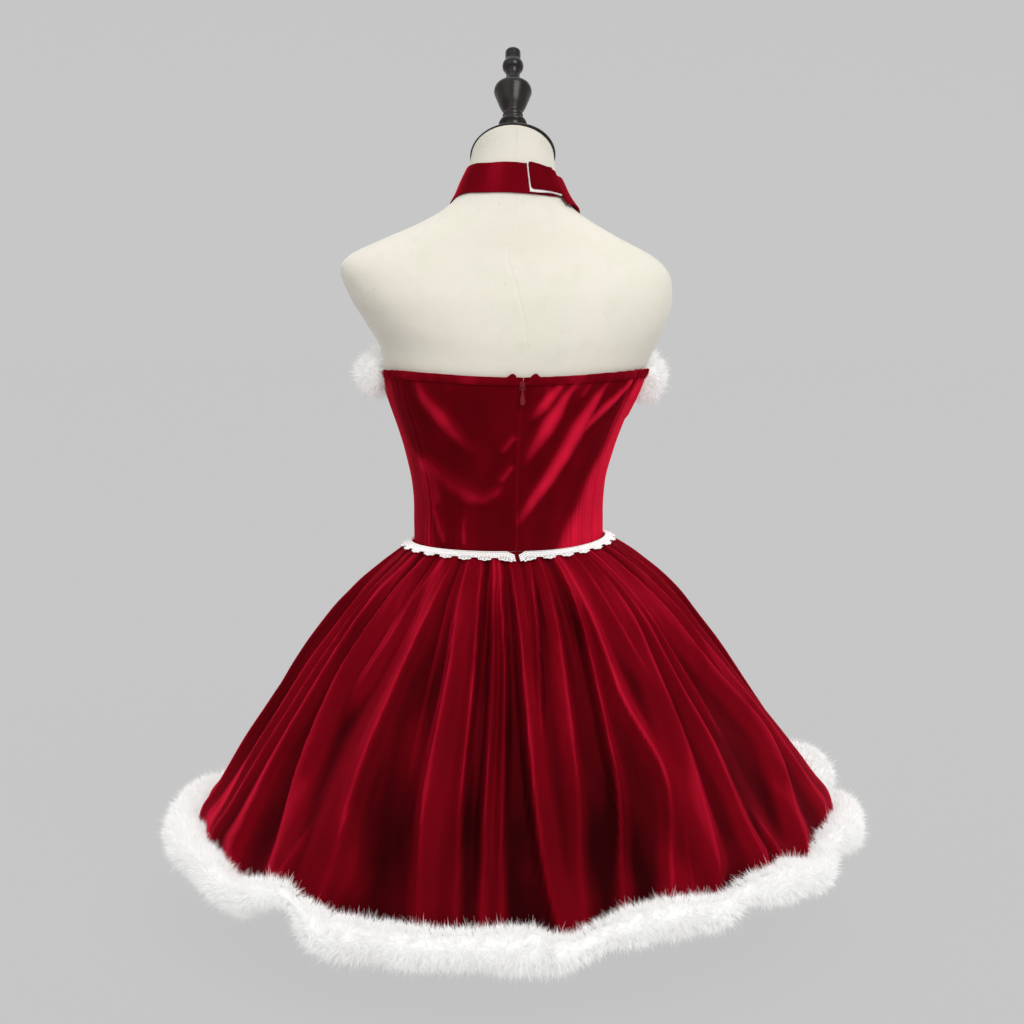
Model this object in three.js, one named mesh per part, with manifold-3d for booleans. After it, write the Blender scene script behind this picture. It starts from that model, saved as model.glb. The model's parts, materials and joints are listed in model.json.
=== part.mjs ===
// A short halter dress of gathered red velvet with white fur trim, shown on a canvas dress form.
// Millimetres, +Z up. The dress faces -Y, the wearer's left is +X, and Z is 0 under the stand's base.
// A place on the form is a turn, in degrees from the centre back towards the wearer's left, and a level,
// which is its height before the neck's forward tilt is added.
import * as THREE from 'three';
import { mergeVertices } from 'three/addons/utils/BufferGeometryUtils.js';
import Module from 'manifold-3d';

const wasm = await Module();
wasm.setup();

const RAD = Math.PI / 180;
const SEAM_GAP = 0.3;

// Stand
const BASE_RADIUS = 140;
const BASE_HEIGHT = 16;
const POLE_RADIUS = 14;
const FLANGE_RADIUS = 48;
const FLANGE_HEIGHT = 8;
const FORM_BOTTOM = 190;

// Form
const NECK_TOP = 911;
const NECK_TILT = 37;
const NECK_LEAN = 0.075;
const TILT_START = 770;
const CAP_RADIUS = 49.5;
const CAP_HEIGHT = 7;
const FORM_STEPS = 44;

// Dress
const WAIST = 457;
const CLOTH = 1.6;
const CLOTH_CLEAR = 1.4;
const HALTER_CLEAR = 0.9;
const BODICE_STEP = 6.5;
const BODICE_ROWS = 12;
const FOLD_STEPS = 160;
const SKIRT_CLOTH = 2;
const HEM_LEVEL = 88;
const HEM_FUR_RADIUS = 25;
const NECK_FUR_RADIUS = 29;
const SCALLOPS = 30;
const LACE_DEPTH = 18;

// Levels are heights, width is the half width, back and front are depths from the section's centre,
// square is 2 for an ellipse and more for a boxier section, and shift is how far the stance sways to +X.
const FORM_SECTIONS = [
  { level: 190, width: 140, back: 92, front: 88, centre: 0, square: 2.1, shift: 0 },
  { level: 202, width: 155, back: 106, front: 98, centre: 0, square: 2.1, shift: 0 },
  { level: 240, width: 166, back: 116, front: 106, centre: 0, square: 2.1, shift: 0 },
  { level: 300, width: 167, back: 120, front: 108, centre: 0, square: 2.1, shift: 0 },
  { level: 360, width: 152, back: 113, front: 104, centre: 0, square: 2.1, shift: 0 },
  { level: 410, width: 126, back: 96, front: 95, centre: 0, square: 2.1, shift: 0 },
  { level: 457, width: 107.5, back: 82, front: 86, centre: 0, square: 2.15, shift: 4 },
  { level: 492, width: 107, back: 81, front: 88, centre: 0, square: 2.15, shift: 4 },
  { level: 528, width: 110, back: 84, front: 93, centre: 0, square: 2.2, shift: 4 },
  { level: 563, width: 118, back: 90, front: 100, centre: 0, square: 2.2, shift: 3.5 },
  { level: 599, width: 130, back: 97, front: 106, centre: 0, square: 2.25, shift: 2.5 },
  { level: 634, width: 144, back: 102, front: 108, centre: 0, square: 2.3, shift: 0 },
  { level: 653, width: 150, back: 104, front: 106, centre: 0, square: 2.3, shift: -2 },
  { level: 671, width: 155, back: 105, front: 102.5, centre: -0.5, square: 2.35, shift: -5 },
  { level: 689, width: 162, back: 105, front: 98, centre: -1, square: 2.4, shift: -7 },
  { level: 716, width: 176, back: 102, front: 91, centre: -2, square: 2.5, shift: -5 },
  { level: 742, width: 187, back: 97, front: 82, centre: -3, square: 2.5, shift: 0 },
  { level: 766, width: 191, back: 89, front: 73, centre: -4, square: 2.4, shift: 6 },
  { level: 778, width: 187.5, back: 84, front: 69, centre: -4, square: 2.3, shift: 10 },
  { level: 790, width: 176, back: 79, front: 66, centre: -5, square: 2.2, shift: 12 },
  { level: 806, width: 144, back: 74, front: 62, centre: -6, square: 2.1, shift: 9 },
  { level: 823, width: 107, back: 68, front: 58, centre: -7, square: 2, shift: 3 },
  { level: 838, width: 80, back: 62, front: 54, centre: -8, square: 2, shift: 1 },
  { level: 850, width: 68, back: 58, front: 51, centre: -9, square: 2, shift: 0 },
  { level: 868, width: 59, back: 53, front: 49, centre: -10, square: 2, shift: 0 },
  { level: 890, width: 51, back: 49, front: 47, centre: -11, square: 2, shift: -1 },
  { level: 911, width: 47.5, back: 47, front: 46, centre: -12, square: 2, shift: -2 },
];
const BUST = { across: 70, level: 612, depth: 24, ease: 4, wide: 40, high: 42 };

// Where the dress's top edge lies, all round. The front rises over each cup.
const TOP_EDGE = [
  { turn: 0, level: 654 },
  { turn: 60, level: 655 },
  { turn: 88, level: 657 },
  { turn: 120, level: 662 },
  { turn: 150, level: 667 },
  { turn: 180, level: 656 },
];

// The bodice's panels, wearer's left first, from seam to seam.
const PANELS = [
  { name: 'bodice_back_left', from: 0, to: 56 },
  { name: 'bodice_side_left', from: 56, to: 128 },
  { name: 'bodice_front', from: 128, to: 232 },
  { name: 'bodice_side_right', from: 232, to: 304 },
  { name: 'bodice_back_right', from: 304, to: 360 },
];

// Soft drag lines in the back panels: each runs from its top end to its foot.
const DRAG_LINES = [
  { turn: -54, level: 640, footTurn: -6, footLevel: 490, wide: 9, depth: 3.4 },
  { turn: -47, level: 652, footTurn: -14, footLevel: 560, wide: 7, depth: 2.6 },
  { turn: -35, level: 652, footTurn: -12, footLevel: 596, wide: 6, depth: 2 },
  { turn: -62, level: 620, footTurn: -40, footLevel: 470, wide: 9, depth: 2.6 },
  { turn: 52, level: 648, footTurn: 26, footLevel: 566, wide: 9, depth: 2.8 },
  { turn: 58, level: 600, footTurn: 22, footLevel: 500, wide: 10, depth: 2.2 },
  { turn: 40, level: 520, footTurn: 34, footLevel: 462, wide: 7, depth: 1.8 },
  { turn: 128, level: 640, footTurn: 152, footLevel: 560, wide: 8, depth: 1.6 },
  { turn: 232, level: 640, footTurn: 208, footLevel: 560, wide: 8, depth: 1.6 },
];

// The skirt's mean outer surface from the waist seam to the hem.
const SKIRT_SECTIONS = [
  { level: 456.7, width: 112, back: 87, front: 91, square: 2.15, shift: 4 },
  { level: 448, width: 126, back: 93, front: 98, square: 2.15, shift: 3 },
  { level: 438, width: 140, back: 102, front: 108, square: 2.1, shift: 1 },
  { level: 428, width: 153, back: 113, front: 118, square: 2.1, shift: 0 },
  { level: 407, width: 178, back: 142, front: 146, square: 2.05, shift: -1 },
  { level: 386, width: 197, back: 169, front: 172, square: 2, shift: -2 },
  { level: 368, width: 210, back: 190, front: 192, square: 2, shift: -2 },
  { level: 324, width: 243, back: 233, front: 234, square: 2, shift: -2 },
  { level: 254, width: 290, back: 289, front: 289, square: 2, shift: -2 },
  { level: 190, width: 332, back: 334, front: 334, square: 2, shift: -1 },
  { level: 147, width: 360, back: 362, front: 362, square: 2, shift: 0 },
  { level: 124, width: 373, back: 374, front: 374, square: 2, shift: 0 },
  { level: 104, width: 376, back: 377, front: 377, square: 2, shift: 0 },
  { level: 88, width: 377, back: 378, front: 378, square: 2, shift: 0 },
];
const GORES = ['skirt_back_left', 'skirt_front_left', 'skirt_front_right', 'skirt_back_right'];
const SKIRT_ROWS = [456.7, 441, 413, 366, 292, 205, 122, HEM_LEVEL];

// The skirt's gathers and folds: turn at the waist, how far it drifts by the hem, half width in degrees,
// depth where it is deepest and depth left at the hem.
const FOLDS = [
  { turn: 2, drift: -1, wide: 4, depth: 9, hem: 3 },
  { turn: 9, drift: -2, wide: 4.4, depth: 11, hem: 4 },
  { turn: 18, drift: -3, wide: 4.6, depth: 10, hem: 4 },
  { turn: 28, drift: -1, wide: 5, depth: 12, hem: 5 },
  { turn: 39, drift: 1, wide: 5.4, depth: 13, hem: 6 },
  { turn: 50, drift: 0, wide: 5, depth: 11, hem: 5 },
  { turn: 60, drift: 1, wide: 4.6, depth: 12, hem: 5 },
  { turn: 70, drift: 2, wide: 5.2, depth: 10, hem: 4 },
  { turn: 81, drift: 1, wide: 5, depth: 9, hem: 4 },
  { turn: 92, drift: -1, wide: 5.2, depth: 11, hem: 5 },
  { turn: 103, drift: 2, wide: 5.4, depth: 12, hem: 4 },
  { turn: 114, drift: 0, wide: 5, depth: 10, hem: 5 },
  { turn: 125, drift: -2, wide: 5.2, depth: 12, hem: 5 },
  { turn: 136, drift: 1, wide: 5.4, depth: 11, hem: 4 },
  { turn: 147, drift: 2, wide: 4.8, depth: 9, hem: 4 },
  { turn: 157, drift: 0, wide: 5, depth: 12, hem: 6 },
  { turn: 168, drift: -1, wide: 5, depth: 10, hem: 4 },
  { turn: 179, drift: 1, wide: 5.2, depth: 11, hem: 4 },
  { turn: 190, drift: 0, wide: 5, depth: 12, hem: 5 },
  { turn: 201, drift: 2, wide: 5.4, depth: 10, hem: 4 },
  { turn: 212, drift: -1, wide: 5, depth: 11, hem: 5 },
  { turn: 223, drift: 1, wide: 5.2, depth: 12, hem: 4 },
  { turn: 234, drift: 0, wide: 5, depth: 9, hem: 5 },
  { turn: 245, drift: -2, wide: 5.4, depth: 12, hem: 5 },
  { turn: 256, drift: 1, wide: 5, depth: 11, hem: 4 },
  { turn: 267, drift: 0, wide: 5, depth: 10, hem: 4 },
  { turn: 278, drift: 1, wide: 5, depth: 11, hem: 4 },
  { turn: 288, drift: -1, wide: 4.6, depth: 12, hem: 5 },
  { turn: 298, drift: 2, wide: 4.8, depth: 10, hem: 5 },
  { turn: 308, drift: 1, wide: 5, depth: 12, hem: 6 },
  { turn: 319, drift: -2, wide: 5.2, depth: 10, hem: 4 },
  { turn: 330, drift: 3, wide: 5, depth: 13, hem: 6 },
  { turn: 340, drift: 2, wide: 4.6, depth: 10, hem: 4 },
  { turn: 347.5, drift: 1, wide: 4, depth: 10, hem: 4 },
  { turn: 354.5, drift: 1, wide: 3.8, depth: 11, hem: 4 },
];

// Slow waves of the hem over a half width of turn: how far it lifts and swings out, and how slim its fur is.
const HEM_WAVES = [
  { turn: 246, wide: 26, lift: 36, out: 4, slim: 0 },
  { turn: 112, wide: 24, lift: 14, out: 2, slim: 0 },
  { turn: 86, wide: 18, lift: 9, out: 0, slim: 0 },
  { turn: 68, wide: 36, lift: 15, out: -13, slim: 0 },
  { turn: 46, wide: 13, lift: 17, out: 0, slim: 0.22 },
  { turn: 27, wide: 22, lift: -5, out: 0, slim: 0 },
  { turn: 358, wide: 8, lift: -7, out: 0, slim: 0 },
  { turn: 342, wide: 17, lift: 20, out: -2, slim: 0 },
  { turn: 326, wide: 12, lift: 6, out: 0, slim: 0.34 },
  { turn: 318, wide: 18, lift: 20, out: 0, slim: 0 },
  { turn: 304, wide: 38, lift: 0, out: -12, slim: 0 },
  { turn: 281, wide: 30, lift: 31, out: 0, slim: 0 },
  { turn: 180, wide: 34, lift: 8, out: 0, slim: 0 },
];

// One half of the halter band, from the bodice to its end behind the neck: its upper and lower edges.
const BAND_SECTIONS = [
  { upper: 161, upperLevel: 667.5, lower: 146, lowerLevel: 670 },
  { upper: 160, upperLevel: 700, lower: 147, lowerLevel: 701 },
  { upper: 159, upperLevel: 742, lower: 147, lowerLevel: 740 },
  { upper: 156, upperLevel: 788, lower: 143, lowerLevel: 778 },
  { upper: 149, upperLevel: 834, lower: 133, lowerLevel: 806 },
  { upper: 132, upperLevel: 868, lower: 117, lowerLevel: 832 },
  { upper: 110, upperLevel: 885, lower: 98, lowerLevel: 846 },
  { upper: 84, upperLevel: 886, lower: 77, lowerLevel: 848 },
  { upper: 54, upperLevel: 878, lower: 52, lowerLevel: 846 },
  { upper: 24, upperLevel: 871, lower: 24, lowerLevel: 842 },
  { upper: -8, upperLevel: 870, lower: -8, lowerLevel: 841 },
  { upper: -30, upperLevel: 872, lower: -30, lowerLevel: 842 },
  { upper: -48, upperLevel: 877, lower: -48, lowerLevel: 845 },
];
const BAND_DROP = { station: 6.9, wide: 1.7, depth: 7 };
const OVERLAP_END = -18;
const TAPE_END = -44;
const TAPE_CLEAR = 0.6;

// The turned finial, along its own axis from the cap.
const FINIAL_PROFILE = [
  { along: 0, radius: 24 },
  { along: 4, radius: 24 },
  { along: 8, radius: 20 },
  { along: 15, radius: 14.5 },
  { along: 26, radius: 12.5 },
  { along: 36, radius: 14 },
  { along: 41, radius: 16.5 },
  { along: 44, radius: 15.5 },
  { along: 46, radius: 12.2 },
  { along: 48.5, radius: 12.8 },
  { along: 51, radius: 11.2 },
  { along: 54, radius: 12 },
  { along: 57, radius: 10.6 },
  { along: 61, radius: 12 },
  { along: 69, radius: 15.6 },
  { along: 78, radius: 18.6 },
  { along: 86, radius: 21.2 },
  { along: 89.5, radius: 22.2 },
  { along: 94, radius: 21.6 },
  { along: 99, radius: 17.5 },
  { along: 104, radius: 12 },
  { along: 109, radius: 8.8 },
  { along: 115, radius: 8 },
  { along: 121, radius: 9.4 },
  { along: 125, radius: 11.8 },
  { along: 129, radius: 12.5 },
  { along: 133, radius: 11.8 },
  { along: 138, radius: 9 },
  { along: 150, radius: 9.1 },
  { along: 152, radius: 8.2 },
];

const COLOURS = {
  velvet: { color: 0x8c0a1c, roughness: 0.75, metalness: 0 },
  fur: { color: 0xf4f4f2, roughness: 0.95, metalness: 0 },
  lace: { color: 0xf5f2ee, roughness: 0.85, metalness: 0 },
  canvas: { color: 0xe9e5d6, roughness: 0.9, metalness: 0 },
  black_wood: { color: 0x1b1a1a, roughness: 0.35, metalness: 0 },
  black_metal: { color: 0x17171a, roughness: 0.45, metalness: 0.6 },
  zip: { color: 0x6f0a18, roughness: 0.4, metalness: 0.2 },
  tape: { color: 0xf0dcdc, roughness: 0.8, metalness: 0 },
};

const part = new THREE.Group();
const materials = Object.fromEntries(
  Object.entries(COLOURS).map(([name, look]) => [name, new THREE.MeshStandardMaterial(look)]),
);

function addMesh(name, geometry, material) {
  const mesh = new THREE.Mesh(geometry, materials[material]);
  mesh.name = name;
  part.add(mesh);
  return mesh;
}

// A smooth curve through a table's column that never passes a row's own value.
function column(table, key, name, at) {
  const rising = table[0][key] < table[table.length - 1][key];
  const rows = rising ? table : [...table].reverse();
  const last = rows.length - 1;
  if (at <= rows[0][key]) return rows[0][name];
  if (at >= rows[last][key]) return rows[last][name];
  let i = 0;
  while (at > rows[i + 1][key]) i += 1;
  const rate = (k) => (rows[k + 1][name] - rows[k][name]) / (rows[k + 1][key] - rows[k][key]);
  const slope = (k) => {
    if (k === 0) return rate(0);
    if (k === last) return rate(last - 1);
    const before = rate(k - 1);
    const after = rate(k);
    return before * after <= 0 ? 0 : (2 * before * after) / (before + after);
  };
  const span = rows[i + 1][key] - rows[i][key];
  const t = (at - rows[i][key]) / span;
  const a = rows[i][name] * (1 + 2 * t) * (1 - t) ** 2 + rows[i + 1][name] * t * t * (3 - 2 * t);
  return a + span * (slope(i) * t * (1 - t) ** 2 - slope(i + 1) * t * t * (1 - t));
}

function smooth(t) {
  const clamped = Math.min(1, Math.max(0, t));
  return clamped * clamped * (3 - 2 * clamped);
}

// A rounded hump, 1 in the middle and 0 from its half width on.
function hump(distance, wide) {
  return Math.abs(distance) >= wide ? 0 : Math.cos((distance / wide) * 90 * RAD) ** 2;
}

function turnBetween(a, b) {
  return ((((a - b) % 360) + 540) % 360) - 180;
}

function section(turn, width, back, front, square) {
  const s = Math.sin(turn * RAD);
  const c = Math.cos(turn * RAD);
  const scale = (Math.abs(s) ** square + Math.abs(c) ** square) ** (-1 / square);
  return { x: width * s * scale, y: (c > 0 ? back : front) * c * scale };
}

function formPoint(turn, level, bust = BUST.depth) {
  const value = (name) => column(FORM_SECTIONS, 'level', name, level);
  const flat = section(turn, value('width'), value('back'), value('front'), value('square'));
  const cup = (x) => Math.exp(-(((flat.x - x) / BUST.wide) ** 2) - ((level - BUST.level) / BUST.high) ** 2);
  const facing = smooth(-Math.cos(turn * RAD) * 2);
  const y = flat.y + value('centre') - bust * facing * (cup(BUST.across) + cup(-BUST.across));
  const tilted = smooth((level - TILT_START) / (NECK_TOP - TILT_START));
  const rise = tilted * (Math.tan(NECK_TILT * RAD) * y + NECK_LEAN * flat.x);
  return new THREE.Vector3(flat.x + value('shift'), y, level + rise);
}

// The outward normal of a surface that is given as a function of turn and level.
function normalOf(surface, turn, level) {
  const across = surface(turn + 0.5, level).sub(surface(turn - 0.5, level));
  const up = surface(turn, level + 0.8).sub(surface(turn, level - 0.8));
  return up.cross(across).normalize();
}

function offForm(turn, level, out) {
  return formPoint(turn, level).addScaledVector(normalOf(formPoint, turn, level), out);
}

// Turns a list of corners and triangles into a geometry whose faces point out.
function closedGeometry(points, triangles) {
  let volume = 0;
  for (const [a, b, c] of triangles) {
    volume += points[a].dot(new THREE.Vector3().crossVectors(points[b], points[c]));
  }
  const order = volume < 0 ? triangles.map(([a, b, c]) => [a, c, b]) : triangles;
  const geometry = new THREE.BufferGeometry();
  const flat = points.flatMap((p) => [p.x, p.y, p.z]);
  geometry.setAttribute('position', new THREE.Float32BufferAttribute(flat, 3));
  geometry.setIndex(order.flat());
  return geometry;
}

// A wall between an outer and an inner grid of points, closed along its four edges.
function wall(outer, inner) {
  const rows = outer.length;
  const across = outer[0].length;
  const points = [...outer.flat(), ...inner.flat()];
  const at = (row, col, side) => side * rows * across + row * across + col;
  const triangles = [];
  const quad = (a, b, c, d) => triangles.push([a, b, c], [a, c, d]);
  for (let row = 0; row < rows - 1; row += 1) {
    for (let col = 0; col < across - 1; col += 1) {
      quad(at(row, col, 0), at(row, col + 1, 0), at(row + 1, col + 1, 0), at(row + 1, col, 0));
      quad(at(row, col, 1), at(row + 1, col, 1), at(row + 1, col + 1, 1), at(row, col + 1, 1));
    }
  }
  const top = rows - 1;
  for (let col = 0; col < across - 1; col += 1) {
    quad(at(0, col, 0), at(0, col, 1), at(0, col + 1, 1), at(0, col + 1, 0));
    quad(at(top, col, 0), at(top, col + 1, 0), at(top, col + 1, 1), at(top, col, 1));
  }
  const side = across - 1;
  for (let row = 0; row < rows - 1; row += 1) {
    quad(at(row, 0, 0), at(row + 1, 0, 0), at(row + 1, 0, 1), at(row, 0, 1));
    quad(at(row, side, 0), at(row, side, 1), at(row + 1, side, 1), at(row + 1, side, 0));
  }
  return closedGeometry(points, triangles);
}

// A solid skin through rings of points, closed at both ends by a fan.
function skin(rings) {
  const around = rings[0].length;
  const points = rings.flat();
  const triangles = [];
  for (let ring = 0; ring < rings.length - 1; ring += 1) {
    for (let k = 0; k < around; k += 1) {
      const a = ring * around + k;
      const b = ring * around + ((k + 1) % around);
      triangles.push([a, b, b + around], [a, b + around, a + around]);
    }
  }
  for (const [ring, turned] of [[0, true], [rings.length - 1, false]]) {
    const middle = rings[ring].reduce((sum, p) => sum.add(p), new THREE.Vector3()).divideScalar(around);
    points.push(middle);
    for (let k = 0; k < around; k += 1) {
      const a = ring * around + k;
      const b = ring * around + ((k + 1) % around);
      triangles.push(turned ? [points.length - 1, b, a] : [points.length - 1, a, b]);
    }
  }
  return closedGeometry(points, triangles);
}

function steps(from, to, count) {
  return Array.from({ length: count + 1 }, (_, i) => from + ((to - from) * i) / count);
}

function toManifold(geometry) {
  const bare = geometry.index ? geometry.toNonIndexed() : geometry.clone();
  bare.deleteAttribute('normal');
  bare.deleteAttribute('uv');
  const merged = mergeVertices(bare, 1e-4);
  const mesh = new wasm.Mesh({
    numProp: 3,
    vertProperties: merged.attributes.position.array,
    triVerts: new Uint32Array(merged.index.array),
  });
  return new wasm.Manifold(mesh);
}

function fromManifold(solid) {
  const mesh = solid.getMesh();
  const geometry = new THREE.BufferGeometry();
  geometry.setAttribute('position', new THREE.BufferAttribute(mesh.vertProperties, 3));
  geometry.setIndex(new THREE.BufferAttribute(mesh.triVerts, 1));
  return geometry;
}

function lathe(profile, sides) {
  const geometry = new THREE.LatheGeometry(profile.map(([r, z]) => new THREE.Vector2(r, z)), sides);
  return geometry.rotateX(90 * RAD);
}

function buildStand() {
  const edge = 4;
  const base = [
    [0, 0], [BASE_RADIUS - edge, 0], [BASE_RADIUS, edge], [BASE_RADIUS, BASE_HEIGHT - edge],
    [BASE_RADIUS - edge, BASE_HEIGHT - 1], [FLANGE_RADIUS, BASE_HEIGHT], [0, BASE_HEIGHT],
  ];
  addMesh('stand_base', lathe(base, 36), 'black_metal');
  const poleTop = FORM_BOTTOM - FLANGE_HEIGHT;
  const pole = [[0, BASE_HEIGHT], [POLE_RADIUS, BASE_HEIGHT], [POLE_RADIUS, poleTop], [0, poleTop]];
  addMesh('stand_pole', lathe(pole, 20), 'black_metal');
  const flange = [
    [0, poleTop], [FLANGE_RADIUS - edge, poleTop], [FLANGE_RADIUS, poleTop + edge],
    [FLANGE_RADIUS, FORM_BOTTOM], [0, FORM_BOTTOM],
  ];
  addMesh('stand_flange', lathe(flange, 24), 'black_metal');
}

function buildForm() {
  const levels = FORM_SECTIONS.map((row) => row.level);
  const turns = steps(0, 360, FORM_STEPS).slice(0, -1);
  // The cups stand a little off the form's own bust.
  const ring = (level) => turns.map((turn) => formPoint(turn, level, BUST.depth - BUST.ease));
  addMesh('form_torso', skin(levels.map(ring)), 'canvas');

  const centre = column(FORM_SECTIONS, 'level', 'centre', NECK_TOP);
  const slope = Math.tan(NECK_TILT * RAD);
  const seat = new THREE.Group();
  seat.position.set(column(FORM_SECTIONS, 'level', 'shift', NECK_TOP), centre, NECK_TOP + centre * slope);
  const upright = new THREE.Vector3(0, 0, 1);
  seat.quaternion.setFromUnitVectors(upright, new THREE.Vector3(-NECK_LEAN, -slope, 1).normalize());
  part.add(seat);
  const foot = SEAM_GAP;
  const cap = [
    [0, foot], [CAP_RADIUS - 1, foot], [CAP_RADIUS, foot + 1], [CAP_RADIUS - 0.5, foot + 3],
    [CAP_RADIUS - 7, foot + CAP_HEIGHT - 1.5], [CAP_RADIUS - 22, foot + CAP_HEIGHT], [0, foot + CAP_HEIGHT],
  ];
  seat.add(addMesh('neck_cap', lathe(cap, 32), 'black_wood'));
  const capTop = foot + CAP_HEIGHT + SEAM_GAP;
  const finial = FINIAL_PROFILE.map((row) => [row.radius, capTop + row.along]);
  const top = finial[finial.length - 1][1];
  seat.add(addMesh('finial', lathe([[0, capTop], ...finial, [0, top]], 16), 'black_wood'));
}

function topEdge(turn) {
  return column(TOP_EDGE, 'turn', 'level', Math.abs(turnBetween(turn, 0)));
}

// How far the cloth of the bodice stands out along its soft drag lines.
function drag(turn, level) {
  let most = 0;
  for (const line of DRAG_LINES) {
    const t = (line.level - level) / (line.level - line.footLevel);
    if (t <= 0 || t >= 1) continue;
    const middle = line.turn + (line.footTurn - line.turn) * t;
    const share = hump(turnBetween(turn, middle), line.wide) * Math.sin(t * Math.PI) ** 0.6;
    most = Math.max(most, line.depth * share);
  }
  return most;
}

function panelTurns(panel) {
  const trim = 0.12;
  const count = Math.round((panel.to - panel.from) / BODICE_STEP);
  return steps(panel.from + trim, panel.to - trim, count);
}

// A bodice point, with t from 0 at the waist to 1 at the top edge.
function bodicePoint(turn, t, out) {
  const level = WAIST + (topEdge(turn) - WAIST) * t;
  return offForm(turn, level, CLOTH_CLEAR + drag(turn, level) + out);
}

function buildBodice() {
  const rows = steps(0, 1, BODICE_ROWS);
  for (const panel of PANELS) {
    const turns = panelTurns(panel);
    const outer = rows.map((t) => turns.map((turn) => bodicePoint(turn, t, CLOTH)));
    const inner = rows.map((t) => turns.map((turn) => bodicePoint(turn, t, 0)));
    addMesh(panel.name, wall(outer, inner), 'velvet');
  }
}

// The stitched band along the back's top edge is the panels' own top row, moved out.
function buildCasings() {
  const depth = 9;
  const cloth = 1.2;
  const sidePoints = 4;
  const zipGap = 2.3;
  const firstOut = CLOTH + 1.5 * SEAM_GAP;
  const rowHeight = (topEdge(0) - WAIST) / BODICE_ROWS;
  const shares = [depth / rowHeight, 0];
  const [backLeft, sideLeft, , sideRight, backRight] = PANELS.map(panelTurns);
  const sides = [
    { name: 'casing_left', turns: [zipGap, ...backLeft.slice(1), ...sideLeft.slice(0, sidePoints)] },
    { name: 'casing_right', turns: [...sideRight.slice(-sidePoints), ...backRight.slice(0, -1), 360 - zipGap] },
  ];
  for (const { name, turns } of sides) {
    const face = (out) => shares.map((share) => turns.map((turn) => {
      const top = bodicePoint(turn, 1, out);
      return top.lerp(bodicePoint(turn, 1 - 1 / BODICE_ROWS, out), share);
    }));
    addMesh(name, wall(face(firstOut + cloth), face(firstOut)), 'velvet');
  }
}

function skirtMean(turn, level) {
  const value = (name) => column(SKIRT_SECTIONS, 'level', name, level);
  const flat = section(turn, value('width'), value('back'), value('front'), value('square'));
  return new THREE.Vector3(flat.x + value('shift'), flat.y, level);
}

function hemWave(turn, name) {
  return HEM_WAVES.reduce((sum, wave) => sum + wave[name] * hump(turnBetween(turn, wave.turn), wave.wide), 0);
}

// How far the gathers stand out: shallow at the waist seam, deepest halfway down, shallow at the hem.
function foldOut(turn, level) {
  const down = (WAIST - level) / (WAIST - HEM_LEVEL);
  const rise = 0.12 + 0.88 * smooth(down / 0.35);
  let most = 0;
  for (const fold of FOLDS) {
    const away = hump(turnBetween(turn, fold.turn + fold.drift * down), fold.wide);
    const depth = fold.depth * rise * (1 - smooth((down - 0.55) / 0.45)) + fold.hem * smooth((down - 0.55) / 0.45);
    most = Math.max(most, away * depth);
  }
  return most;
}

function skirtPoint(turn, level, out) {
  const down = smooth((320 - level) / (320 - HEM_LEVEL));
  const place = skirtMean(turn, level);
  const normal = normalOf(skirtMean, turn, Math.max(level, HEM_LEVEL + 1));
  // At the waist seam the cloth's edge is level, so that it meets the bodice's edge.
  normal.z *= smooth((WAIST - level) / 16);
  normal.normalize();
  place.addScaledVector(normal, foldOut(turn, level) + out);
  const outward = new THREE.Vector3(Math.sin(turn * RAD), Math.cos(turn * RAD), 0);
  place.addScaledVector(outward, hemWave(turn, 'out') * down);
  place.z += hemWave(turn, 'lift') * down;
  return place;
}

function buildSkirt() {
  const trim = 0.08;
  const across = 360 / GORES.length;
  GORES.forEach((name, i) => {
    const turns = steps(i * across, (i + 1) * across, FOLD_STEPS / GORES.length);
    turns[0] += trim;
    turns[turns.length - 1] -= trim;
    const outer = SKIRT_ROWS.map((level) => turns.map((turn) => skirtPoint(turn, level, 0)));
    const inner = SKIRT_ROWS.map((level) => turns.map((turn) => skirtPoint(turn, level, -SKIRT_CLOTH)));
    addMesh(name, wall(outer, inner), 'velvet');
  });
}

// The lace lies on the gathers, from the waist seam down, with a scalloped lower edge.
function buildLace() {
  const laceCloth = 1;
  const perScallop = 4;
  const endGap = 1.1;
  const scallopDepth = 5;
  const probe = 14;
  const turns = steps(endGap, 360 - endGap, SCALLOPS * perScallop);
  const reach = (turn, t) => {
    const along = (turn / 360) * SCALLOPS;
    const scallop = Math.abs(Math.sin(along * Math.PI)) ** 0.6;
    const endDip = 4 * hump(turnBetween(turn, 0), 5);
    return t * (LACE_DEPTH - scallopDepth + scallopDepth * scallop + endDip);
  };
  const point = (turn, t, out) => {
    const top = WAIST - SEAM_GAP;
    const steepness = probe / skirtMean(turn, top).distanceTo(skirtMean(turn, top - probe));
    const level = top - reach(turn, t) * steepness;
    const crest = 1.8 + 2.6 * t;
    return skirtMean(turn, level).addScaledVector(normalOf(skirtMean, turn, level), crest + out);
  };
  const rows = [0, 1];
  const outer = rows.map((t) => turns.map((turn) => point(turn, t, laceCloth)));
  const inner = rows.map((t) => turns.map((turn) => point(turn, t, 0)));
  addMesh('waist_lace', wall(outer, inner), 'lace');
}

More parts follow.
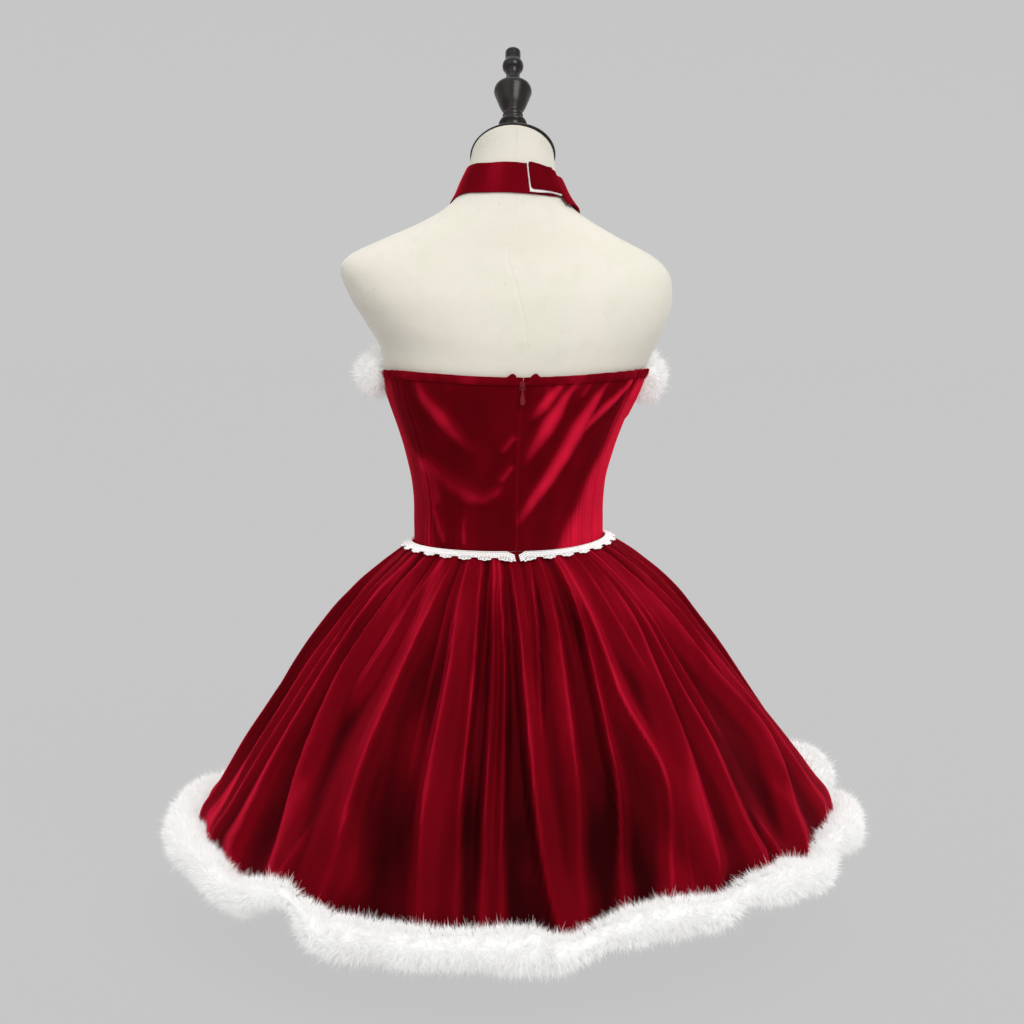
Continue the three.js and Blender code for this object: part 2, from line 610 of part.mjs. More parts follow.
// The fur strip at the hem lies on the outside of the skirt and bulges below its edge.
function buildHemFur() {
  const sides = 8;
  const count = 42;
  const clear = (turn, height) => {
    const near = [-2.2, -1.1, 0, 1.1, 2.2].map((d) => {
      const p = skirtPoint(turn + d, Math.max(HEM_LEVEL, height), 0);
      return Math.hypot(p.x, p.y);
    });
    return Math.max(...near) + SEAM_GAP;
  };
  const ring = (turn) => {
    const lump = 1.6 * Math.sin(turn * RAD * 11 + 1) + 1.2 * Math.sin(turn * RAD * 23) - 0.4;
    const radius = (HEM_FUR_RADIUS + lump) * (1 - hemWave(turn, 'slim'));
    const lift = hemWave(turn, 'lift');
    const middle = clear(turn, 104) + radius * 0.84;
    return Array.from({ length: sides }, (_, k) => {
      const angle = (k / sides) * 360 * RAD;
      const height = 101 + radius * Math.sin(angle);
      const out = Math.max(middle + radius * Math.cos(angle), height > HEM_LEVEL - 3 ? clear(turn, height) : 0);
      return new THREE.Vector3(out * Math.sin(turn * RAD), out * Math.cos(turn * RAD), height + lift);
    });
  };
  const joinGap = 0.02;
  addMesh('hem_fur_left', skin(steps(joinGap, 180 - joinGap, count).map(ring)), 'fur');
  addMesh('hem_fur_right', skin(steps(180 + joinGap, 360 - joinGap, count).map(ring)), 'fur');
}

// The fur strip over the front's top edge ends in a soft ball at each side.
function buildNeckFur() {
  const sides = 8;
  const end = 81;
  const roundEnd = 9;
  const overCloth = CLOTH_CLEAR + CLOTH + 1.3;
  const rings = steps(end, 360 - end, 28).map((turn) => {
    const fromEnd = Math.min(turn - end, 360 - end - turn);
    const swell = Math.sqrt(Math.max(0.1, 1 - (1 - Math.min(1, fromEnd / roundEnd)) ** 2));
    const radius = NECK_FUR_RADIUS * (0.95 + 0.05 * Math.sin(turn * RAD * 13)) * swell;
    return Array.from({ length: sides }, (_, k) => {
      const angle = (k / sides) * 360 * RAD;
      const level = topEdge(turn) - 1 + radius * Math.sin(angle);
      const out = Math.max(overCloth + drag(turn, level), 7 + radius * Math.cos(angle));
      return offForm(turn, level, out);
    });
  });
  addMesh('neckline_fur', skin(rings), 'fur');
}

// One half of the halter, from its foot to a station along the table. The right half is the mirrored one,
// and it hangs lower where it comes round the neck.
function bandWall(count, mirrored, lastStation, lift) {
  const table = BAND_SECTIONS.map((row, station) => ({ ...row, station }));
  const value = (name, station) => column(table, 'station', name, station);
  const point = (station, t, out) => {
    const turn = value('upper', station) * (1 - t) + value('lower', station) * t;
    const level = value('upperLevel', station) * (1 - t) + value('lowerLevel', station) * t;
    const drop = mirrored ? BAND_DROP.depth * hump(station - BAND_DROP.station, BAND_DROP.wide) : 0;
    return offForm(mirrored ? -turn : turn, level - drop, out);
  };
  const rows = steps(0, 1, 2);
  const stations = steps(0, lastStation, count);
  const out = (station) => HALTER_CLEAR + lift(station);
  const outer = rows.map((t) => stations.map((station) => point(station, t, out(station) + CLOTH)));
  const inner = rows.map((t) => stations.map((station) => point(station, t, out(station))));
  return wall(outer, inner);
}

function buildHalter() {
  // The wearer's left half runs behind the neck and under the right half, which laps over it.
  const lapLift = 4.6;
  const lapStation = 9.2;
  addMesh('halter_left', bandWall(34, false, BAND_SECTIONS.length - 1, () => 0), 'velvet');
  addMesh('halter_right', bandWall(26, true, lapStation, (station) => lapLift * smooth((station - 6.2) / 1.4)), 'velvet');
  const turns = steps(OVERLAP_END + 1, TAPE_END, 5);
  const levels = [869, 856, 842.6];
  const face = (out) => levels.map((level) => turns.map((turn) => offForm(turn, level, out)));
  const tapeOut = HALTER_CLEAR + lapLift - TAPE_CLEAR;
  const tapeIn = HALTER_CLEAR + CLOTH + TAPE_CLEAR;
  addMesh('halter_tape', wall(face(tapeOut), face(tapeIn)), 'tape');
}

function box(size, place) {
  return new THREE.BoxGeometry(...size).translate(...place);
}

function rod(radius, length, place, sides = 12) {
  return new THREE.CylinderGeometry(radius, radius, length, sides).rotateZ(90 * RAD).translate(...place);
}

// The zip closes the centre back. Its pull tab hangs from the slider on a small cross pin.
function buildZip() {
  const sliderLevel = 647;
  const sliderHigh = 10;
  const coilCloth = 1;
  const coilIn = CLOTH_CLEAR + CLOTH + SEAM_GAP;
  const coilLevels = steps(WAIST + 1, sliderLevel - sliderHigh / 2 - 1, 8);
  const coil = (out) => coilLevels.map((level) => [-0.9, 0.9].map((turn) => offForm(turn, level, out)));
  addMesh('zip_coil', wall(coil(coilIn + coilCloth), coil(coilIn)), 'zip');

  // The back leans, so the slider's plate starts a little further out than its middle needs.
  const seat = offForm(0, sliderLevel, coilIn + 0.55);
  const plate = 1.6;
  const lug = { width: 0.9, out: 3.6, high: 3.4, across: 1.75 };
  const pin = { x: seat.x, y: seat.y + plate + 1.9, z: sliderLevel };
  const pinRadius = 0.5;
  const lugAt = (side) => [seat.x + side * lug.across, seat.y + plate + lug.out / 2 - 0.4, sliderLevel];
  const slider = [
    box([6.4, plate, sliderHigh], [seat.x, seat.y + plate / 2, sliderLevel]),
    box([lug.width, lug.out, lug.high], lugAt(1)),
    box([lug.width, lug.out, lug.high], lugAt(-1)),
    rod(pinRadius, 2 * lug.across + 0.3, [pin.x, pin.y, pin.z]),
  ].map(toManifold).reduce((all, piece) => all.add(piece));
  addMesh('zip_slider', fromManifold(slider), 'zip');

  const drop = 21;
  const half = { eye: 0.8, waist: 1.1, belly: 3, foot: 2.5 };
  const outline = new THREE.Shape();
  outline.moveTo(-half.eye, 0);
  outline.lineTo(half.eye, 0);
  outline.lineTo(half.waist, -6);
  outline.quadraticCurveTo(half.belly, -14, half.foot, -18);
  outline.quadraticCurveTo(half.foot - 0.9, -drop, 0, -drop);
  outline.quadraticCurveTo(0.9 - half.foot, -drop, -half.foot, -18);
  outline.quadraticCurveTo(-half.belly, -14, -half.waist, -6);
  outline.closePath();
  const thick = 1;
  const blade = new THREE.ExtrudeGeometry(outline, { depth: thick, bevelEnabled: false, curveSegments: 5 })
    .rotateX(90 * RAD)
    .translate(pin.x, pin.y + thick / 2, pin.z);
  const eye = toManifold(rod(1.4, 1.9, [pin.x, pin.y, pin.z], 16));
  const bore = toManifold(rod(pinRadius + 0.3, 3, [pin.x, pin.y, pin.z], 16));
  addMesh('zip_pull', fromManifold(toManifold(blade).add(eye).subtract(bore)), 'zip');
}

buildStand();
buildForm();
buildBodice();
buildCasings();
buildSkirt();
buildLace();
buildHemFur();
buildNeckFur();
buildHalter();
buildZip();

export default part;
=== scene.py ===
"""A short halter dress of gathered red velvet, with white fur and lace, on a canvas dress form.

The tables are in millimetres and the meshes in metres, in the CAD's own frame. A place on the form is a
turn, in degrees from the centre back towards the wearer's left, and a level, which is its height before
the neck's forward tilt is added.
"""
import json
import math
from dataclasses import dataclass

import bpy
import numpy as np
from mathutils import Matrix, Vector


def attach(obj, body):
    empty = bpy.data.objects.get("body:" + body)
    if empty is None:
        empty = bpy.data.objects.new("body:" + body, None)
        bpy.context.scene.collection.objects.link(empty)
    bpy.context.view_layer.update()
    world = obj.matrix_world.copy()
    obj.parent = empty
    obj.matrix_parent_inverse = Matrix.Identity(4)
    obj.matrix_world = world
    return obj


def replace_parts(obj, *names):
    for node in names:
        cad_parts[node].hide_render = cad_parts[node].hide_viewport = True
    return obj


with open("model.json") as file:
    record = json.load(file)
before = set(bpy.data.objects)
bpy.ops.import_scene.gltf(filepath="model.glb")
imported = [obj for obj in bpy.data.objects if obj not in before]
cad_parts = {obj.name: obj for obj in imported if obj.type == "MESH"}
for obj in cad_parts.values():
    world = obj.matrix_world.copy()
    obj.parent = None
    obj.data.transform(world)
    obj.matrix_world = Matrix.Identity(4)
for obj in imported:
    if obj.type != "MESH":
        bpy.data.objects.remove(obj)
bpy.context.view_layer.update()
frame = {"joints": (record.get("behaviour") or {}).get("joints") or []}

bl_info = {
    "name": "Halter dress on a dress form",
    "version": (1, 0, 0),
    "blender": (4, 5, 0),
    "location": "3D View > Sidebar > Dress",
    "description": "Builds a velvet dress with fur and lace, and its dress form, around the CAD frame",
    "category": "Object",
}

MM = 0.001
BODY = "dress_and_form"
PULL_BODY = "pull_tab"
FORM = "canvas_form"

# Form
NECK_TOP = 911
NECK_TILT = math.tan(math.radians(37))
NECK_LEAN = 0.075
TILT_START = 770
CAP_RADIUS = 49.5
CAP_OVAL = 1.22
CAP_HEIGHT = 7.0
BASE_RADIUS = 140
BASE_HEIGHT = 16
POLE_RADIUS = 14
FLANGE_RADIUS = 48
FLANGE_HEIGHT = 8
FORM_BOTTOM = 190

# Dress
WAIST = 457
HEM_LEVEL = 88
CLOTH = 1.6
SEAM_GAP = 0.3
CLOTH_CLEAR = 1.4
SKIRT_CLOTH = 2.0
HALTER_CLEAR = 0.9
CASING_DEPTH = 9.0
FOLDS_IN = 7
# How bright a minor fold's ridge line is painted as a highlight.
MINOR_PAINTED_HIGHLIGHT = 0.25
# How strongly the skirt's painted light and pile patches stand out.
NAP_AND_PAINTED_LIGHT_GAIN = 1.3
SCALLOPS = 31
BUST = {"across": 70, "level": 612, "depth": 24, "ease": 4, "wide": 40, "high": 42}
SLIDER_LEVEL = 647
# A degree's length on the bodice, about.
TURN_STEP = 1.75


def table(columns, *rows):
    """A table with named columns, its rows in rising order of the first column."""
    ordered = np.array(sorted(rows), float)
    return dict(zip(columns.split(), ordered.T))


FORM_SECTIONS = table(
    "level width back front centre square shift",
    (190, 140, 92, 88, 0, 2.1, 0),
    (202, 155, 106, 98, 0, 2.1, 0),
    (240, 166, 116, 106, 0, 2.1, 0),
    (300, 167, 120, 108, 0, 2.1, 0),
    (360, 152, 113, 104, 0, 2.1, 0),
    (410, 126, 96, 95, 0, 2.1, 0),
    (457, 107.5, 82, 86, 0, 2.15, 4),
    (492, 107, 81, 88, 0, 2.15, 4),
    (528, 110, 84, 93, 0, 2.2, 4),
    (563, 118, 90, 100, 0, 2.2, 3.5),
    (599, 130, 97, 106, 0, 2.25, 2.5),
    (634, 144, 102, 108, 0, 2.3, 0),
    (653, 150, 104, 106, 0, 2.3, -2),
    (671, 155, 105, 102.5, -0.5, 2.35, -5),
    (689, 162, 105, 98, -1, 2.4, -7),
    (716, 176, 102, 91, -2, 2.5, -5),
    (742, 187, 97, 82, -3, 2.5, 0),
    (766, 191, 89, 73, -4, 2.4, 6),
    (778, 187.5, 84, 69, -4, 2.3, 10),
    (790, 176, 79, 66, -5, 2.2, 12),
    (806, 144, 74, 62, -6, 2.1, 9),
    (823, 107, 68, 58, -7, 2, 3),
    (838, 80, 62, 54, -8, 2, 1),
    (850, 68, 58, 51, -9, 2, 0),
    (868, 59, 53, 49, -10, 2, 0),
    (890, 51, 49, 47, -11, 2, -1),
    (911, 47.5, 47, 46, -12, 2, -2),
)
TOP_EDGE = table(
    "turn level",
    (0, 657), (20, 658.5), (38, 661), (60, 662.5), (74, 659), (90, 657), (120, 662), (150, 667), (180, 656),
)
SKIRT_SECTIONS = table(
    "level width back front square shift",
    (456.7, 112, 87, 91, 2.15, 4),
    (448, 126, 93, 98, 2.15, 3),
    (438, 140, 102, 108, 2.1, 1),
    (428, 153, 113, 118, 2.1, 0),
    (407, 178, 142, 146, 2.05, -1),
    (386, 197, 169, 172, 2, -2),
    (368, 210, 190, 192, 2, -2),
    (324, 243, 233, 234, 2, -2),
    (254, 290, 289, 289, 2, -2),
    (190, 332, 334, 334, 2, -1),
    (147, 360, 362, 362, 2, 0),
    (124, 373, 374, 374, 2, 0),
    (104, 376, 377, 377, 2, 0),
    (88, 377, 378, 378, 2, 0),
)
# Panels of the bodice, wearer's left first, from seam to seam, each with the flat size of its cut.
PANELS = [
    {"name": "bodice_back_left", "from": 0, "to": 56, "flat": (0.125, 0.205)},
    {"name": "bodice_side_left", "from": 56, "to": 128, "flat": (0.170, 0.215)},
    {"name": "bodice_front", "from": 128, "to": 232, "flat": (0.260, 0.235)},
    {"name": "bodice_side_right", "from": 232, "to": 304, "flat": (0.170, 0.215)},
    {"name": "bodice_back_right", "from": 304, "to": 360, "flat": (0.125, 0.205)},
]
# Soft drag folds of the bodice, a few points along the crest of each.
DRAG_FOLDS = table(
    "fold turn level wide depth",
    (1, -16.5, 649, 4, 2), (1, -13.5, 636, 8, 3.4), (1, -10.5, 624, 10, 3.4), (1, -7, 612, 8, 1.6),
    (2, -22.8, 649, 4, 2), (2, -19.5, 633, 7, 3.2), (2, -16.5, 614, 12, 4), (2, -13, 595, 13, 3.8),
    (2, -9, 578, 11, 2.4), (2, -5, 560, 8, 1),
    (3, -38, 650, 4, 2), (3, -35, 634, 8, 3.6), (3, -32, 612, 12, 4.4), (3, -29, 590, 14, 4.6),
    (3, -25, 566, 14, 4.6), (3, -18, 538, 13, 4.2), (3, -9, 512, 11, 3.2), (3, -2, 490, 9, 1.4),
    (4, -29.5, 649, 4, 2), (4, -28, 636, 5, 1.4),
    (5, -55, 655, 4, 2), (5, -50, 641, 6, 3.4), (5, -42, 622, 9, 4), (5, -36, 606, 9, 3.6),
    (5, -31, 590, 8, 2),
    (6, -61, 655, 4, 2.4), (6, -62, 632, 8, 2.4),
    (7, -72, 648, 5, 2.4), (7, -73, 610, 9, 2),
    (8, 25, 574, 9, 1.4), (8, 31.5, 592, 13, 3.4), (8, 38, 612, 14, 4), (8, 44, 632, 11, 3),
    (8, 48, 650, 7, 1.6),
    (9, 7, 536, 5, 1), (9, 12, 524, 10, 2.6), (9, 19, 516, 13, 2.6), (9, 28, 520, 17, 2.6),
    (9, 40, 534, 20, 2.6), (9, 54, 556, 18, 2.6),
    (10, 2.5, 588, 6, 2.6), (10, 7.5, 574, 7, 2.6),
    (11, 3, 554, 6, 2.6), (11, 8, 540, 8, 2.6),
    (12, 45.5, 466, 6, 2.4), (12, 51.5, 496, 9, 2.2),
    (13, 31.5, 466, 5, 1.8), (13, 32, 490, 6, 1.4),
    (14, 128, 640, 8, 1.6), (14, 152, 560, 8, 1.6),
    (15, 208, 560, 8, 1.6), (15, 232, 640, 8, 1.6),
)
# Where the painted highlights over the flanks begin, at the wearer's left and right.
PAINTED_FLANK_HIGHLIGHTS = table(
    "level left right",
    (457, 47, -21), (477, 49, -25), (489, 50, -28), (519, 42, -35.5), (549, 49, -41.5), (576, 60, -47.5),
    (606, 64, -49), (628, 62, -50), (650, 60, -56),
)
# Where the skirt's folds are charted: 0 at the waist, 1 at the hem.
FOLD_DOWN = (0, 0.15, 0.35, 0.6, 0.85, 1)
TRACK = ("waist", "upper", "middle", "lower", "low", "hem")
# Each fold of the back: the turn of its crest down the skirt, its half widths, its depths and its stretch.
BACK_FOLDS = table(
    "waist upper middle lower low hem left right depth foot start end",
    (78, 79, 80, 80, 78, 77, 8, 6, 10, 5, 0, 2),
    (68.5, 70.5, 73, 74.5, 75, 76, 5, 5, 10, 5, 0, 2),
    (60, 63.5, 65, 66.5, 65.5, 62, 8, 4, 15, 8, 0, 2),
    (50.5, 55, 58, 56.5, 51.5, 47.5, 3.2, 10, 15, 8, 0, 2),
    (45, 45, 45, 45, 46, 50, 4, 3, 5, 6, 0.72, 2),
    (38.5, 43.5, 48.5, 52, 52, 52, 7, 6, 11, 0, 0, 0.52),
    (33, 34, 37, 38.6, 37.3, 38.5, 11, 4.4, 17, 8, 0, 2),
    (25.5, 24.3, 23, 23.4, 21, 19.5, 3.2, 8.5, 15, 5, 0, 2),
    (18.5, 16.6, 15.9, 15.8, 14.6, 14, 6, 2.2, 13, 5, 0, 2),
    (12.4, 11.5, 10.8, 11, 10.4, 10, 2, 3, 12, 4, 0, 2),
    (9.8, 8.5, 7.6, 7.8, 7.2, 6.8, 3, 2, 12, 4, 0, 2),
    (4.6, 3.4, 2.7, 1.6, -0.8, -3.4, 2.2, 7, 15, 8, 0, 2),
    (-6.5, -3.2, -1.4, -1, -1, -1, 4, 2, 12, 0, 0, 0.55),
    (-11.5, -10, -8.5, -7.5, -6, -6, 6, 3, 10, 3, 0, 2),
    (-20, -18, -16.5, -15.5, -12.8, -11.5, 2.1, 4, 13, 5, 0, 2),
    (-22.5, -21.6, -22, -26.5, -22, -19, 4, 7, 14, 7, 0, 2),
    (-31, -30.5, -33.4, -35, -35, -35, 8, 3, 13, 0, 0, 0.45),
    (-29, -29, -29, -29.5, -26, -23.5, 3, 2, 5, 7, 0.68, 2),
    (-37, -37, -36, -34.2, -31.5, -27, 9, 3.8, 16, 9, 0, 2),
    (-40.5, -42, -42.3, -43, -42.5, -42.5, 5, 3.6, 13, 8, 0, 2),
    (-44, -46, -47.5, -50, -50, -50, 4, 3, 10, 0, 0, 0.58),
    (-48, -48, -48, -48, -47.5, -48, 3, 3, 4, 6, 0.74, 2),
    (-50, -54, -60, -69, -61, -57, 10, 5, 15, 8, 0, 2),
    (-60, -65, -71, -77, -75, -72, 7, 6, 11, 5, 0, 2),
    (-70, -74, -81, -86, -86, -84, 8, 7, 10, 5, 0, 2),
)
# The folds out of the photo's sight, from one side round the front to the other, go on in the same way.
FRONT_FOLDS = {"from": 92, "to": 272, "pitch": 10.9, "wide": 8.5, "depth": 13.5, "foot": 6.5}
# The hem's waves: how far each lifts it and swings it out, thins its fur and tucks the fur under.
HEM_WAVES = table(
    "turn wide lift out slim tuck",
    (246, 26, 36, 4, 0, 0),
    (112, 24, 14, 2, 0, 0),
    (94, 22, 0, -5, 0, 0.5),
    (86, 18, 9, 0, 0, 0),
    (68, 36, 15, -13, 0, 0),
    (66, 14, 0, 0, 0.24, 0),
    (56, 10, -12, 0, 0, 0),
    (46, 13, 17, 0, 0.22, 0),
    (41, 8, 9, 0, 0.3, 0),
    (27, 22, -5, 0, 0, 0),
    (1, 34, -2, 0, 0.04, 0),
    (358, 8, -7, 0, 0, 0),
    (354, 10, 3, 0, 0.22, 0),
    (342, 17, 20, -2, 0, 0),
    (331, 11, 6, 0, 0.32, 0),
    (325, 9, 8, 0, 0.22, 0),
    (313, 9, 8, 0, 0.12, 0),
    (318, 18, 20, 0, 0, 0),
    (304, 38, 0, -12, 0, 0),
    (297, 13, 8, 0, 0.42, 0),
    (281, 30, 31, 0, 0, 0),
    (278, 16, 0, 8, 0, 1),
    (263, 7, 0, -4, 0.6, 0),
    (252, 12, 14, 0, 0, 0),
    (180, 34, 8, 0, 0, 0),
)
# The backing of the hem's fur: the level of its middle, the level it stays clear of, how deep its pile is,
# and how far a full tuck takes it in and down.
HEM_FUR = {"radius": 25, "level": 98, "clear": 104, "pile": 8.5, "tuck_in": 9, "tuck_down": 12, "rings": 18}
NECK_FUR = {"radius": 29, "pile": 9.5, "end": 81, "round_end": 9, "out": 8, "sag": 8, "rings": 18}
# One half of the halter band, from the bodice to its end behind the neck.
BAND_SECTIONS = table(
    "station upper upper_level lower lower_level",
    (0, 161, 667.5, 146, 670),
    (1, 160, 700, 147, 701),
    (2, 159, 742, 147, 740),
    (3, 156, 788, 143, 778),
    (4, 149, 834, 133, 806),
    (5, 132, 868, 117, 832),
    (6, 110, 885, 98, 846),
    (7, 84, 886, 77, 848),
    (8, 54, 878, 52, 846),
    (9, 24, 871, 24, 842),
    (10, -8, 870, -8, 841),
    (11, -30, 872, -30, 842),
    (12, -48, 877, -48, 845),
)
ZIP = {"foot": 458, "top": 641, "out": 3.1, "apart": 0.24, "pitch": 1.3, "tooth": (0.75, 0.95, 1.5)}
# Half the pull tab's width, down from its pin.
PULL_OUTLINE = table(
    "down half",
    (0, 0.8), (1.6, 0.9), (6, 1.15), (11, 2.1), (15, 2.75), (18, 2.8), (19.8, 2.2), (20.7, 1.2), (21, 0.3),
)
FINIAL_PROFILE = table(
    "along radius",
    (0, 24), (4, 24), (8, 20), (15, 14.5), (26, 12.5), (36, 14), (41, 16.5), (44, 15.5), (46, 12.2),
    (48.5, 12.8), (51, 11.2), (54, 12), (57, 10.6), (61, 12), (69, 15.6), (78, 18.6), (86, 21.2),
    (89.5, 22.2), (94, 21.6), (99, 17.5), (104, 12), (109, 8.8), (115, 8), (121, 9.4), (125, 11.8),
    (129, 12.5), (133, 11.8), (138, 9), (150, 9.1), (152, 8.2),
)
# Each lamp: the setting for its strength, its elevation, its turn from the centre back and its width.
LAMPS = (
    {"name": "key", "strength": "key", "high": 44, "turn": -26, "wide": 34},
    {"name": "fill", "strength": "fill", "high": 30, "turn": 56, "wide": 60},
    {"name": "low", "strength": "low", "high": 10, "turn": 0, "wide": 70},
    {"name": "front", "strength": "fill", "high": 40, "turn": 180, "wide": 60},
    {"name": "top", "strength": "top", "high": 84, "turn": 0, "wide": 70},
)


def column(source, name, where):
    """A smooth curve through a table's column that never passes a row's own value."""
    keys = next(iter(source.values()))
    values = source[name]
    rate = np.diff(values) / np.diff(keys)
    before, after = rate[:-1], rate[1:]
    both = before * after
    total = np.where(both > 0, before + after, 1)
    slope = np.concatenate([rate[:1], np.where(both > 0, 2 * both / total, 0), rate[-1:]])
    where = np.clip(where, keys[0], keys[-1])
    i = np.clip(np.searchsorted(keys, where, side="right") - 1, 0, len(keys) - 2)
    span = np.diff(keys)[i]
    t = (where - keys[i]) / span
    ends = values[i] * (1 + 2 * t) * (1 - t) ** 2 + values[i + 1] * t * t * (3 - 2 * t)
    return ends + span * (slope[i] * t * (1 - t) ** 2 - slope[i + 1] * t * t * (1 - t))


def columns(source, names, where):
    return [column(source, name, where) for name in names.split()]


def rows_of(source):
    """The table's rows, each as a dict of plain numbers."""
    names = list(source)
    return [dict(zip(names, row)) for row in zip(*source.values())]


def smooth(t):
    t = np.clip(t, 0, 1)
    return t * t * (3 - 2 * t)


def hump(distance, wide):
    """A rounded hump, 1 in the middle and 0 from its half width on."""
    return np.cos(np.clip(distance / wide, -1, 1) * math.pi / 2) ** 2


def waist_lift(turn):
    """The waist seam rides up a little at the wearer's right."""
    return 7 * hump(turn_between(turn, 265), 85)


def crest(distance, wide):
    """A fold's ridge: 1 on its narrow crest, and ever gentler down to 0 at its half width."""
    x = np.clip(np.sqrt((distance / wide) ** 2 + 0.006) - 0.077, 0, 1)
    return (1 - x) ** 2 * (1 + 0.4 * x)


def turn_between(a, b):
    return (a - b + 540) % 360 - 180


def ripple(u, sharp=1.0):
    """Rounded ridges, one for each whole number of u, uneven in height from ridge to ridge."""
    uneven = 0.72 + 0.28 * np.sin(2.3 * np.round(u) + 1.1 * np.round(u) ** 2)
    return uneven * np.abs(np.cos(math.pi * u)) ** (2 * sharp)


def crumple(u, v, seed):
    """Slow uneven waves between -1 and 1 over a surface."""
    rng = np.random.default_rng(seed)
    total = np.zeros(np.broadcast(u, v).shape)
    for _ in range(6):
        a, b = rng.uniform(-1, 1, 2)
        phase = rng.uniform(0, 2 * math.pi)
        total = total + np.sin(2 * math.pi * (a * u + b * v) + phase)
    return total / 6


def compass(turn):
    """The sine and cosine of a turn in degrees."""
    return np.sin(np.radians(turn)), np.cos(np.radians(turn))


def section(turn, width, back, front, square):
    s, c = compass(turn)
    scale = (np.abs(s) ** square + np.abs(c) ** square) ** (-1 / square)
    return width * s * scale, np.where(c > 0, back, front) * c * scale


def form_point(turn, level, bust=BUST["depth"]):
    turn, level = np.broadcast_arrays(np.asarray(turn, float), np.asarray(level, float))
    width, back, front, centre, square, shift = columns(
        FORM_SECTIONS, "width back front centre square shift", level
    )
    x, y = section(turn, width, back, front, square)
    high = ((level - BUST["level"]) / BUST["high"]) ** 2
    cups = sum(
        np.exp(-(((x - side) / BUST["wide"]) ** 2) - high) for side in (BUST["across"], -BUST["across"])
    )
    y = y + centre - bust * smooth(-2 * compass(turn)[1]) * cups
    tilted = smooth((level - TILT_START) / (NECK_TOP - TILT_START))
    return np.stack([x + shift, y, level + tilted * (NECK_TILT * y + NECK_LEAN * x)], -1)


def normal_of(surface, turn, level):
    """The outward normal of a surface that is given as a function of turn and level."""
    across = surface(turn + 0.5, level) - surface(turn - 0.5, level)
    up = surface(turn, level + 0.8) - surface(turn, level - 0.8)
    normal = np.cross(up, across)
    return normal / np.linalg.norm(normal, axis=-1, keepdims=True)


def off_form(turn, level, out):
    turn, level, out = np.broadcast_arrays(turn, level, np.asarray(out, float))
    return form_point(turn, level) + normal_of(form_point, turn, level) * out[..., None]


def top_edge(turn):
    return column(TOP_EDGE, "level", np.abs(turn_between(turn, 0)))


def skirt_mean(turn, level):
    turn, level = np.broadcast_arrays(np.asarray(turn, float), np.asarray(level, float))
    width, back, front, square, shift = columns(SKIRT_SECTIONS, "width back front square shift", level)
    x, y = section(turn, width, back, front, square)
    return np.stack([x + shift, y, level], -1)


def hem_wave(turn, name):
    return sum(w[name] * hump(turn_between(turn, w["turn"]), w["wide"]) for w in rows_of(HEM_WAVES))


@dataclass
class Shell:
    """The points, faces and flat cut coordinates of a piece while it is being made, in millimetres."""

    points: np.ndarray
    quads: np.ndarray
    triangles: np.ndarray
    cut: np.ndarray
    # The velvet's painted light and pile tone, one value for each point.
    nap: np.ndarray = None


NO_TRIANGLES = np.zeros((0, 3), int)


def outward(shell):
    """The shell with its faces pointing out."""
    p, q = shell.points, shell.quads
    halves = np.concatenate([q[:, [0, 1, 2]], q[:, [0, 2, 3]], shell.triangles])
    volume = np.einsum("ij,ij->i", p[halves[:, 0]], np.cross(p[halves[:, 1]], p[halves[:, 2]])).sum()
    if volume < 0:
        return Shell(p, q[:, ::-1], shell.triangles[:, ::-1], shell.cut)
    return shell


def together(shells):
    """Several shells as one."""
    starts = np.cumsum([0] + [len(s.points) for s in shells[:-1]])
    return Shell(
        np.concatenate([s.points for s in shells]),
        np.concatenate([s.quads + start for s, start in zip(shells, starts)]),
        np.concatenate([s.triangles + start for s, start in zip(shells, starts)]),
        np.concatenate([s.cut for s in shells]),
        None if shells[0].nap is None else np.concatenate([s.nap for s in shells]),
    )


def grid_cut(grid):
    """Flat coordinates of a grid of points, measured along its rows and columns."""
    along = np.linalg.norm(np.diff(grid, axis=1), axis=2).mean(0)
    down = np.linalg.norm(np.diff(grid, axis=0), axis=2)
    u = np.broadcast_to(np.concatenate([[0], np.cumsum(along)]), grid.shape[:2])
    v = np.concatenate([np.zeros((1, grid.shape[1])), np.cumsum(down, axis=0)])
    return np.stack([u, v], -1)


def wall(outer, inner, nap=None):
    """A closed wall between an outer and an inner grid of points, with the velvet's painted light and pile
    tone if given.
    """
    rows, cols = outer.shape[:2]
    front = np.arange(rows * cols).reshape(rows, cols)
    back = front + rows * cols

    def patch(grid):
        return np.stack([grid[:-1, :-1], grid[:-1, 1:], grid[1:, 1:], grid[1:, :-1]], -1).reshape(-1, 4)

    def strip(a, b):
        return np.stack([a[:-1], b[:-1], b[1:], a[1:]], -1)

    quads = np.concatenate([
        patch(front), patch(back)[:, ::-1],
        strip(front[0], back[0]), strip(front[-1], back[-1])[:, ::-1],
        strip(front[:, 0], back[:, 0])[:, ::-1], strip(front[:, -1], back[:, -1]),
    ])
    cut = grid_cut(outer).reshape(-1, 2)
    points = np.concatenate([outer.reshape(-1, 3), inner.reshape(-1, 3)])
    shell = outward(Shell(points, quads, NO_TRIANGLES, np.concatenate([cut, cut])))
    if nap is not None:
        shell.nap = np.tile(nap.ravel(), 2)
    return shell


